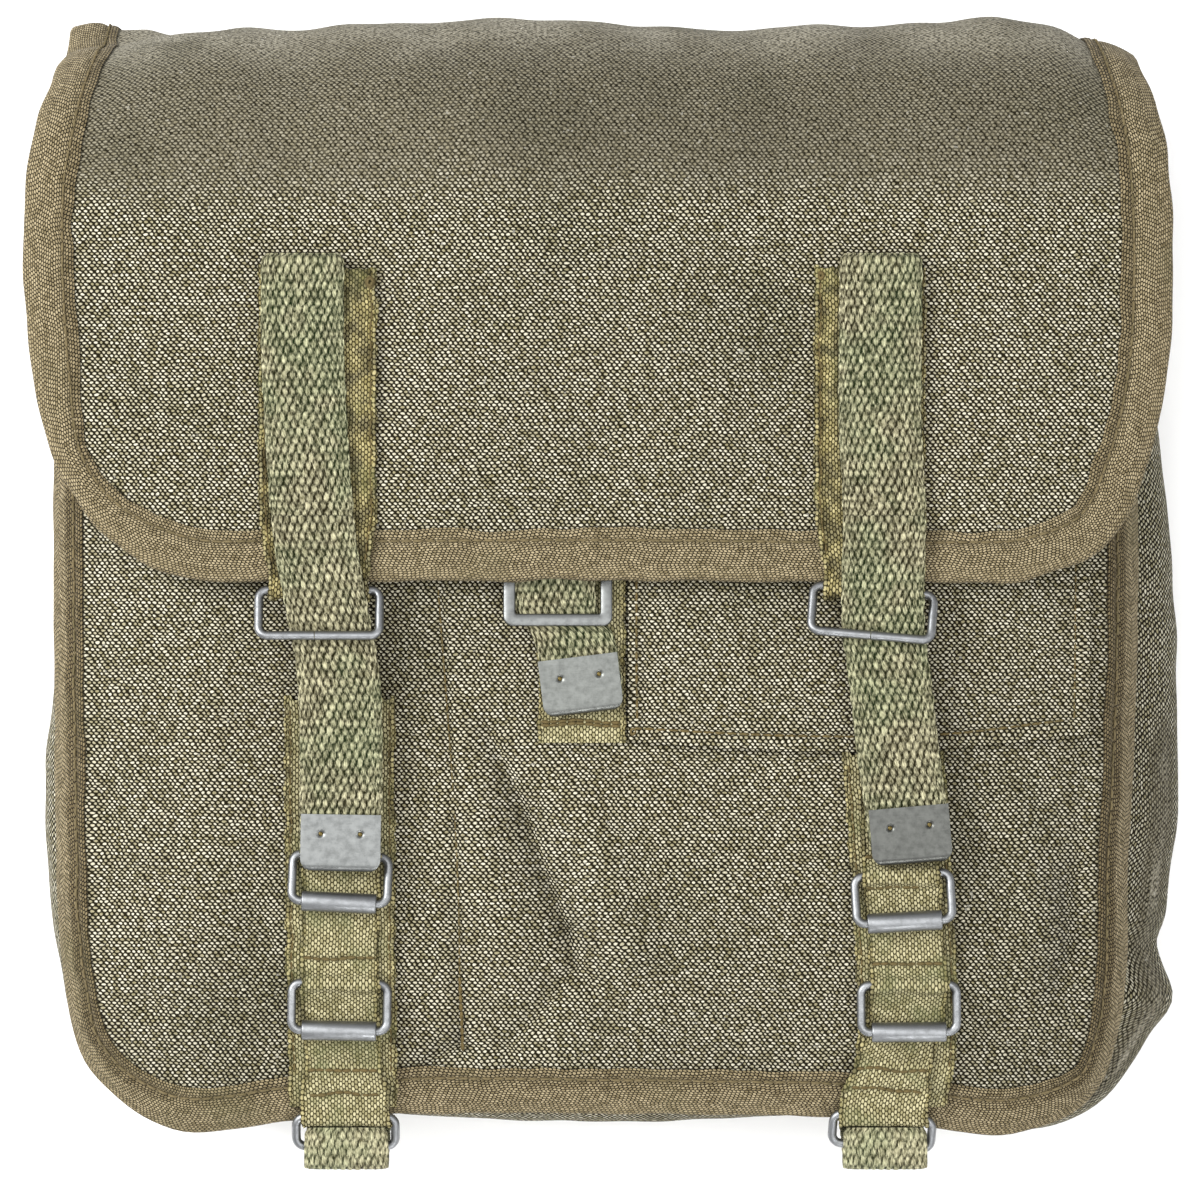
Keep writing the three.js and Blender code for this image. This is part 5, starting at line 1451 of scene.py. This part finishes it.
def turned_bar(x, y, z, tilt, pitch):
    """Function that places points of a bar's own frame: tilted in the panel's plane, its lower bar lifted."""
    c, s = math.cos(-pitch), math.sin(-pitch)
    lift = np.array([[1, 0, 0], [0, c, -s], [0, s, c]])
    c, s = math.cos(math.radians(tilt)), math.sin(math.radians(tilt))
    spin = np.array([[c, -s, 0], [s, c, 0], [0, 0, 1]])
    turn = spin @ lift
    return lambda points: points @ turn.T + np.array([x, y, z])


def wire_loop(size, seam):
    """Round wire bent to a rectangle with round corners, open at a fine butt seam in its lower bar."""
    half, height, corner = size["width"] / 2, size["height"], size["corner"]
    arcs = [(half - corner, corner - height, -90), (half - corner, -corner, 0), (corner - half, -corner, 90),
            (corner - half, corner - height, 180)]
    line = [(seam + WIRE_SEAM, -height, 0)]
    for x, y, start in arcs:
        for angle in np.radians(np.linspace(start, start + 90, WIRE_CORNER_POINTS)):
            line.append((x + corner * math.cos(angle), y + corner * math.sin(angle), 0))
    line.append((seam - WIRE_SEAM, -height, 0))
    line = evenly(np.array(line, float), WIRE_POINTS)
    return tube(line, WIRE / 2 * (1 + ripples(run_of(line), WIRE_DENTS)), WIRE_SIDES)


def add_flap_fastening(side, sizes, looks):
    """Strap, flap tape, flap ring and strap tip of one side, and the stitches of the flap tape."""
    flap_tape, tip, ring = sizes["flap_tape"], sizes["tip"], sizes["flap_ring"]
    climb_y = FLAP_EDGE_Y + FLAP_SEAM + CLIMB_START
    lift = CANVAS / 2 + GAP + TAPE / 2
    over = BINDING_FACE + GAP + TAPE / 2 + SLACK
    path = [(y, flap_front_z(y) + lift) for y in np.linspace(FLAP_TAPE_TOP, climb_y, 6)]
    path += [(y, flap_front_z(y) + over) for y in (climb_y - CLIMB, FLAP_EDGE_Y + EDGE_STAND)]
    path += round_bar(FLAP_BAR_Y, FLAP_BAR_Z, FLAP_LOOP_ANGLES)

    def on_loop(y):
        return 1 - ease(y, *LOOP_TAPER)

    edges, up = add_tape(f"flap_tape_{side}_cloth", path,
                         lambda y: flap_tape["centre"] + (ring["x"] - flap_tape["centre"]) * on_loop(y),
                         lambda y: flap_tape["width"] + (FLAP_LOOP_WIDTH - flap_tape["width"]) * on_loop(y),
                         lambda y: flap_tape["tilt"] * on_loop(y), looks["tape"], SEEDS["flap_tape"],
                         frayed=FLAP_TAPE_FRAY, crumple_and_shade=FLAP_TAPE_CRUMPLE_AND_SHADE)

    pitch = math.asin(FLAP_RING_RISE / FLAP_RING["height"])
    to_bag = turned_bar(ring["x"], FLAP_BAR_Y, FLAP_BAR_Z, flap_tape["tilt"], pitch)
    points, quads = wire_loop(FLAP_RING, ring["seam"])
    piece = add_mesh(f"flap_ring_{side}_wire", to_bag(points), quads, looks["wire"], slot="metal")
    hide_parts(f"flap_ring_{side}")

    over_tape = (TAPE + WEBBING) / 2 + GAP + SLACK
    under_bar = FLAP_BAR_Z + FLAP_RING_RISE - WIRE / 2 - 2 * GAP - WEBBING / 2
    low_bar_y = FLAP_BAR_Y - FLAP_RING["height"] * math.cos(pitch)
    top_z = flap_front_z(STRAP_TOP_Y) + lift + over_tape - STRAP_TURN_IN[1]
    down_flap = np.linspace(STRAP_TOP_Y - 1, climb_y + EDGE_STAND, 6)
    hang = np.linspace(low_bar_y - 2 * CLIMB, tip["y"] + TIP["length"] / 2 + CLIMB_START, 4)
    strap = [(STRAP_TOP_Y + STRAP_TURN_IN[0], top_z)]
    strap += [(y, flap_front_z(y) + lift + over_tape) for y in down_flap]
    strap += [(y, flap_front_z(y) + over + over_tape) for y in (climb_y - CLIMB + EDGE_STAND, FLAP_BAR_Y)]
    strap += [(FLAP_BAR_Y - 2 * CLIMB, under_bar + EDGE_STAND), (low_bar_y, under_bar)]
    strap += list(zip(hang, np.linspace(under_bar - GAP, TIP_Z, 4)))
    strap.append((tip["y"] - TIP["length"] / 2 + TIP["fold"] + TIP["end_gap"], TIP_Z))
    add_webbing(f"strap_{side}_webbing", strap, reader(sizes["strap"]), STRAP_WIDTH, looks["webbing"],
                SEEDS["strap"])
    to_bag = turned_bar(tip["x"], tip["y"], TIP_Z, tip["tilt"], 0.0)
    add_tip(f"strap_tip_{side}", to_bag, looks[sizes["plate"]], looks["brass"])
    rows = [stitches(edge[FLAP_TAPE_SEWN], up[FLAP_TAPE_SEWN], FINE_STITCH, SEEDS["flap_tape_stitches"])
            for edge in edges]
    return rows + [thread_lump(edge[2 + 2 * number], SEEDS["flap_tape_knots"] + number)
                   for number, edge in enumerate(edges)]


def add_tip(name, to_bag, plate, brass):
    """Strap tip: sheet metal folded round the strap's end, with two punched pin holes in its face."""
    half = TIP["thickness"] / 2 - TIP_SHEET / 2
    low = -TIP["length"] / 2 + TIP_SHEET / 2
    mouth = TIP["length"] / 2 - TIP_MOUTH_EASE
    bend = half - TIP_BEND_EASE
    bends = ((half - bend, 0), (bend - half, math.pi / 2))
    fold = [(low + bend - bend * math.sin(start + turn), z_mid + bend * math.cos(start + turn))
            for z_mid, start in bends for turn in np.linspace(0, math.pi / 2, 6)]
    line = evenly(np.array([(mouth, half), *fold, (mouth, -half)]), TIP_GRID[0])
    tangent = unit(np.gradient(line, axis=0))
    corner = TIP["corner"]
    inside = np.clip(corner - (line[:, 0] - low + TIP_CORNER_EASE), 0, corner)
    width = TIP["width"] / 2 - (corner - np.sqrt(np.maximum(corner ** 2 - inside ** 2, 0)))
    offset = np.linspace(-1, 1, TIP_GRID[1])[None] * width[:, None]
    grid = np.stack([offset, line[:, :1] + 0 * offset, line[:, 1:] + 0 * offset], axis=-1)
    normals = np.stack([0 * line[:, 0], tangent[:, 1], -tangent[:, 0]], axis=1)[:, None]
    normals = np.broadcast_to(normals, grid.shape)
    x, y, z = np.moveaxis(grid, -1, 0)
    dents = bumps(x, y, TIP_DENTS)
    for hole_x in TIP_HOLES:
        away = np.hypot(x - hole_x, y - TIP_HOLE_Y)
        hole = TIP_HOLE["depth"] * np.exp(-(away / TIP_HOLE["radius"]) ** 6)
        hole = hole - TIP_HOLE["rim"] * hump(away - TIP_HOLE["rim_radius"], TIP_HOLE["rim_spread"])
        dents = dents + np.where(z > 0, hole, 0)
    edge = np.abs(offset) / np.maximum(width[:, None], 1e-6)
    rounding = -TIP_EDGE_ROUND * TIP_SHEET * edge ** 30
    points, quads = thick_sheet(grid - normals * dents[..., None], normals, TIP_SHEET, rounding)
    piece = add_mesh(f"{name}_plate", to_bag(points), quads, plate, slot="metal")
    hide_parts(name)
    radii = np.array([radius for _, radius in TIP_PIN])
    pins = [tube([(hole_x, TIP_HOLE_Y, half + rise) for rise, _ in TIP_PIN], radii, TIP_PIN_SIDES)
            for hole_x in TIP_HOLES]
    points, quads = joined(pins)
    add_mesh(f"{name}_pins", to_bag(points), quads, brass, slot="metal")


def add_buckles(side, sizes, on_panel, centre_at, tilt_at, looks):
    """Roller buckles of one side: wire frames in tape tunnels, each with a split tube on its lower bar."""
    for place, y in sizes["buckles"].items():
        x = float(centre_at(y))
        slope = math.atan2(panel_z(x, y) - panel_z(x, y - BUCKLE["height"]), BUCKLE["height"])
        pitch = math.asin(ROLLER_RISE / BUCKLE["height"]) - slope
        to_bag = turned_bar(x, y, on_panel(y, BAR_LIFT)[1], float(tilt_at(y)), pitch)
        points, quads = wire_loop(BUCKLE, 0.0)
        body = f"buckle_{side}_{place}"
        piece = add_mesh(f"{body}_wire", to_bag(points), quads, looks["wire"], body=body, slot="metal")
        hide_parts(f"buckle_frame_{side}_{place}")
        points, quads = split_roller()
        points = to_bag(points + np.array([0, -BUCKLE["height"], 0]))
        body = f"roller_{side}_{place}"
        piece = add_mesh(f"{body}_tube", points, quads, looks["wire"], body=body, slot="metal")
        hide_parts(body)


def split_roller():
    """Tube rolled from sheet, with a narrow open seam and softly rounded ends."""
    half, radius, bore = ROLLER["length"] / 2, ROLLER["radius"], ROLLER["bore"]
    end = [(bore, 0.3), (bore + 0.3, 0.0), (radius - 0.35, 0.0), (radius - 0.1, 0.1), (radius, 0.4)]
    profile = [(out, inset - half) for out, inset in end] + [(out, half - inset) for out, inset in end[::-1]]
    out, along = np.array(profile).T[:, None]
    angle = np.radians(np.linspace(*ROLLER_SPLIT, ROLLER_STEPS))[:, None]
    return swept(np.stack([along + 0 * angle, out * np.cos(angle), out * np.sin(angle)], axis=-1))


def add_bottom_ring(side, sizes, bar_y, bar_z, x, tilt, looks):
    """Bottom ring of one side, and the webbing loop that runs round its lower bar and down the gusset."""
    loop = sizes["bottom_loop"]
    sink = math.asin(BOTTOM_RING_SINK / BOTTOM_RING["height"])
    to_bag = turned_bar(x, bar_y, bar_z, tilt, -sink)
    points, quads = wire_loop(BOTTOM_RING, BOTTOM_RING_SEAM)
    piece = add_mesh(f"bottom_ring_{side}_wire", to_bag(points), quads, looks["wire"], slot="metal")
    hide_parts(f"bottom_ring_{side}")
    half = WIRE / 2 + GAP + WEBBING / 2 + SLACK
    low_y = bar_y - BOTTOM_RING["height"] * math.cos(sink)
    low_z = bar_z - BOTTOM_RING_SINK
    path = [(bar_y - LOOP_RADIUS - TAPE / 2 - BOTTOM_LOOP_START, low_z + half), (low_y, low_z + half)]
    for angle in np.radians(BOTTOM_FOLD_ANGLES):
        path.append((low_y - BOTTOM_FOLD + half * math.cos(angle), low_z + half * math.sin(angle)))
    path += [(low_y + back + sewn * loop["seat"], low_z - down) for back, down, sewn in BOTTOM_LOOP_TAIL]
    add_webbing(f"bottom_loop_{side}_webbing", path, lambda y: loop["x"] + 0 * y, loop["width"],
                looks["webbing"], SEEDS["bottom_loop"], paled=BOTTOM_LOOP_PAINTED_LIGHT)


def add_body_fastening(side, sizes, looks):
    """Body tape, buckle tape, buckles, bottom ring and bottom loop of one side, and the tapes' stitches."""
    middle = sizes["body_tape"][0][1]

    def on_panel(y, lift):
        return (y, float(panel_z(middle, y)) + CANVAS / 2 + lift)

    def on_binding(y, lift):
        return (y, float(panel_z(middle, y)) + BINDING_FACE + lift)

    climb_y = PANEL_BOTTOM + FLAT_SEAM + CLIMB_START
    edge_ys = (climb_y - CLIMB, PANEL_BOTTOM + FLAT_SEAM / 2)
    body_centre = reader(sizes["body_tape"])
    body_path = [on_panel(y, BODY_LIFT) for y in np.linspace(sizes["body_tape_top"], climb_y, 10)]
    body_path += [on_binding(y, BODY_LIFT + GAP) for y in (*edge_ys, PANEL_BOTTOM + BODY_TAPE_END)]
    edges, up = add_tape(f"body_tape_{side}_cloth", body_path, body_centre, reader(sizes["body_tape"], 2),
                         lambda y: 0 * y, looks["tape"], SEEDS["body_tape"], frayed=BODY_TAPE_FRAY,
                         ground=lambda x, y: panel_z(x, y) - panel_z(body_centre(y), y))
    rows = [stitches(edge[BODY_TAPE_SEWN], up[BODY_TAPE_SEWN], FINE_STITCH, SEEDS["body_tape_stitches"])
            for edge in edges]

    centre_at = reader(sizes["buckle_tape"])
    tilt_at = reader(sizes["buckle_tape"], 2)
    upper, lower = sizes["buckles"]["upper"], sizes["buckles"]["lower"]
    bar_y, bar_z = on_binding(BOTTOM_BAR_Y, BAR_LIFT + GAP)

    def tunnel(y):
        crown = round_bar(y, on_panel(y, BAR_LIFT)[1], TUNNEL_ANGLES)
        return [on_panel(y + TUNNEL_FOOT, BUCKLE_LIFT), *crown, on_panel(y - TUNNEL_FOOT, BUCKLE_LIFT)]

    def flat(start, end):
        return [on_panel(y, BUCKLE_LIFT) for y in np.linspace(start, end, 3)]

    def width_at(y):
        return BUCKLE_TAPE_WIDTH + (BOTTOM_TAPE_WIDTH - BUCKLE_TAPE_WIDTH) * ease(-y, *BUCKLE_TAPE_WIDENS)

    path = flat(BUCKLE_TAPE_TOP, upper + 2 * TUNNEL_FOOT) + tunnel(upper)
    path += flat(upper - 2 * TUNNEL_FOOT, lower + 2 * TUNNEL_FOOT) + tunnel(lower)
    path += flat(lower - 2 * TUNNEL_FOOT, climb_y) + [on_binding(y, BUCKLE_LIFT + 2 * GAP) for y in edge_ys]
    path += round_bar(bar_y, bar_z, BOTTOM_BAR_ANGLES)
    add_tape(f"buckle_tape_{side}_cloth", path, centre_at, width_at, tilt_at, looks["tape"],
             SEEDS["buckle_tape"], pleats=sizes["cross_rows"])
    add_buckles(side, sizes, on_panel, centre_at, tilt_at, looks)
    ring_x, ring_tilt = float(centre_at(BOTTOM_BAR_Y)), float(tilt_at(BOTTOM_BAR_Y))
    add_bottom_ring(side, sizes, bar_y, bar_z, ring_x, ring_tilt, looks)

    across = np.linspace(-CROSS_ROW_SHARE, CROSS_ROW_SHARE, ROW_POINTS) * BUCKLE_TAPE_WIDTH
    for number, y in enumerate(sizes["cross_rows"]):
        over_seam = BINDING_FACE + 2 * GAP - CANVAS / 2 if y < climb_y else 0.0
        slant = across * math.tan(math.radians(float(tilt_at(y))))
        line_y = y + slant + ripples(across, CROSS_ROW_SWAY, number)
        z = panel_z(middle, line_y) + CANVAS / 2 + BUCKLE_LIFT + TAPE / 2 + over_seam
        line = np.stack([centre_at(y) + across, line_y, z], axis=1)
        rows.append(stitches(line, upward(ROW_POINTS), HEAVY_STITCH, SEEDS["cross_rows"] + number))
    return rows


def add_centre_fastening(looks):
    """Short strap through a stamped frame on a tape in the panel's middle, and the tape's stitches."""
    turn = CENTRE_TURN
    tape_top = BODY_LIFT + TAPE / 2
    tape_ys = np.linspace(CENTRE_TAPE["top"], CENTRE_TAPE["low"], 6)
    add_tape("centre_tape_cloth", [(y, PANEL_FACE + BODY_LIFT) for y in tape_ys],
             lambda y: CENTRE_TAPE["x"] + 0 * y, lambda y: CENTRE_TAPE["width"] + 0 * y, lambda y: 0 * y,
             looks["tape"], SEEDS["centre_tape"])
    bar, thickness = CENTRE_FRAME["bar"], CENTRE_FRAME["thickness"]
    top_y = CENTRE_FRAME["top"] - bar / 2
    low_y = CENTRE_FRAME["top"] - CENTRE_FRAME["height"] + bar / 2
    top_lift = tape_top + GAP + thickness / 2
    flat_lift = tape_top + GAP + WEBBING / 2
    low_lift = flat_lift + WEBBING / 2 + GAP + thickness / 2 + 2 * SLACK
    over_lift = top_lift + thickness / 2 + GAP + WEBBING / 2 + 2 * SLACK
    tip_lift = tape_top + GAP + TIP["thickness"] / 2
    rows = [(CENTRE_TAPE["top"] + turn["tail"], flat_lift), (top_y + turn["ahead"], flat_lift + GAP),
            (top_y + turn["over"], over_lift), (top_y - turn["over"], over_lift),
            (low_y + turn["behind"], flat_lift + GAP), (low_y + turn["under"], flat_lift),
            (low_y - turn["over"], flat_lift),
            (CENTRE_TIP["y"] + TIP["length"] / 2 + turn["before_tip"], tip_lift),
            (CENTRE_TIP["y"] - TIP["length"] / 2 + TIP["fold"] + TIP["end_gap"], tip_lift)]
    add_webbing("centre_strap_webbing", [(y, PANEL_FACE + lift) for y, lift in rows], reader(CENTRE_STRAP),
                CENTRE_STRAP_WIDTH, looks["webbing"], SEEDS["centre_strap"])
    to_bag = turned_bar(CENTRE_TIP["x"], CENTRE_TIP["y"], PANEL_FACE + tip_lift, CENTRE_TIP["tilt"], 0.0)
    add_tip("centre_tip", to_bag, looks["grey_plate"], looks["brass"])
    pitch = math.atan2(low_lift - top_lift, top_y - low_y)
    to_bag = turned_bar(CENTRE_FRAME["x"], CENTRE_FRAME["top"] - CENTRE_FRAME["height"] / 2,
                        PANEL_FACE + (top_lift + low_lift) / 2, 0.0, pitch)
    points, quads = stamped_frame()
    piece = add_mesh("centre_frame_plate", to_bag(points), quads, looks["plate"], slot="metal")
    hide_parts("centre_frame")
    share = np.linspace(-CENTRE_ROW["share"], CENTRE_ROW["share"], ROW_POINTS)
    x = share * CENTRE_TAPE["width"] + CENTRE_TAPE["x"]
    y = CENTRE_ROW["y"] + ripples(x, CENTRE_ROW_SWAY)
    line = np.stack([x, y, np.full(ROW_POINTS, PANEL_FACE + tape_top)], axis=1)
    return [stitches(line + [0, shift, 0], upward(ROW_POINTS), HEAVY_STITCH, SEEDS["centre_row"])
            for shift in CENTRE_ROW["shifts"]]


def round_rectangle(width, height, corner):
    """Outline of a rectangle with round corners, with the same count of points whatever its size."""
    line = []
    for x, y, start in ((1, -1, -90), (1, 1, 0), (-1, 1, 90), (-1, -1, 180)):
        for angle in np.radians(np.linspace(start, start + 90, FRAME_CORNER_POINTS)):
            line.append((x * (width / 2 - corner) + corner * math.cos(angle),
                         y * (height / 2 - corner) + corner * math.sin(angle)))
    return np.array(line)


def stamped_frame():
    """Flat frame with softened edges, between a round-cornered outline and a nearly sharp opening."""
    width, height, bar = CENTRE_FRAME["width"], CENTRE_FRAME["height"], CENTRE_FRAME["bar"]
    outer = round_rectangle(width, height, CENTRE_FRAME["corner"])
    inner = round_rectangle(width - 2 * bar, height - 2 * bar, CENTRE_FRAME["inner_corner"])
    half = CENTRE_FRAME["thickness"] / 2
    rings = [raised(outer + (inner - outer) * share, np.full(len(outer), up * half))
             for share, up in FRAME_PROFILE]
    return swept(np.stack(rings, axis=1), closed_path=True)


def add_panel_seams():
    """Stitch lines of the front panel: the long seam, the bar at its foot, and the pocket flap's lines."""
    lines = [(PANEL_SEAM, 160, FINE_STITCH, CANVAS / 2 - 0.55),
             (PANEL_BAR, 60, HEAVY_STITCH, CANVAS / 2 - 0.6),
             (POCKET_SEAMS["left"], 90, STITCH, ON_POCKET + POCKET_HEM - 0.15),
             (POCKET_SEAMS["low"], 160, STITCH, ON_POCKET + 0.1),
             (POCKET_SEAMS["right"], 90, FINE_STITCH, ON_POCKET - 0.05)]
    rows = []
    for number, (places, count, size, lift) in enumerate(lines):
        line = curve_through(places, count)
        path = raised(line, panel_z(*line.T) + lift)
        rows.append(stitches(path, upward(count), size, SEEDS["panel_seams"] + number))
    knot_z = panel_z(POCKET_SEWN_LEFT, POCKET_KNOT[1]) + ON_POCKET
    rows.append(thread_lump(np.array([*POCKET_KNOT, knot_z]), SEEDS["pocket_knot"]))
    return rows


def main():
    """Makes the camera, the studio and then every piece of the bag."""
    add_camera()
    add_studio()
    canvas, twill = canvas_material(), twill_material()
    looks = {"webbing": webbing_material(), "tape": tape_material()}
    for name, rough in METAL_ROUGHNESS.items():
        looks[name] = metal_material(name, rough)
    for add_cloth in (add_front, add_back, add_gusset, add_flap, add_pocket_flap):
        add_cloth(canvas)
    edge_rows = []
    for place, edge in (("flap", flap_edge()), ("front", front_edge()), ("back", back_edge())):
        line, up = add_binding(place, *edge, twill)
        edge_rows.append(stitches(line, up, STITCH, BINDINGS[place]["stitch_seed"]))
    tape_rows = add_centre_fastening(looks)
    for side, sizes in SIDES.items():
        tape_rows += add_flap_fastening(side, sizes, looks)
        tape_rows += add_body_fastening(side, sizes, looks)
    khaki = thread_material("khaki_thread", paint("khaki thread, dim"), paint("khaki thread, pale"))
    brown = thread_material("brown_thread", paint("brown thread, dim"), paint("brown thread, pale"))
    add_mesh("edge_stitches", *joined(edge_rows), khaki, slot="binding")
    add_mesh("tape_stitches", *joined(tape_rows), brown, slot="tape")
    add_mesh("panel_stitches", *joined(add_panel_seams()), brown, slot="canvas")


main()
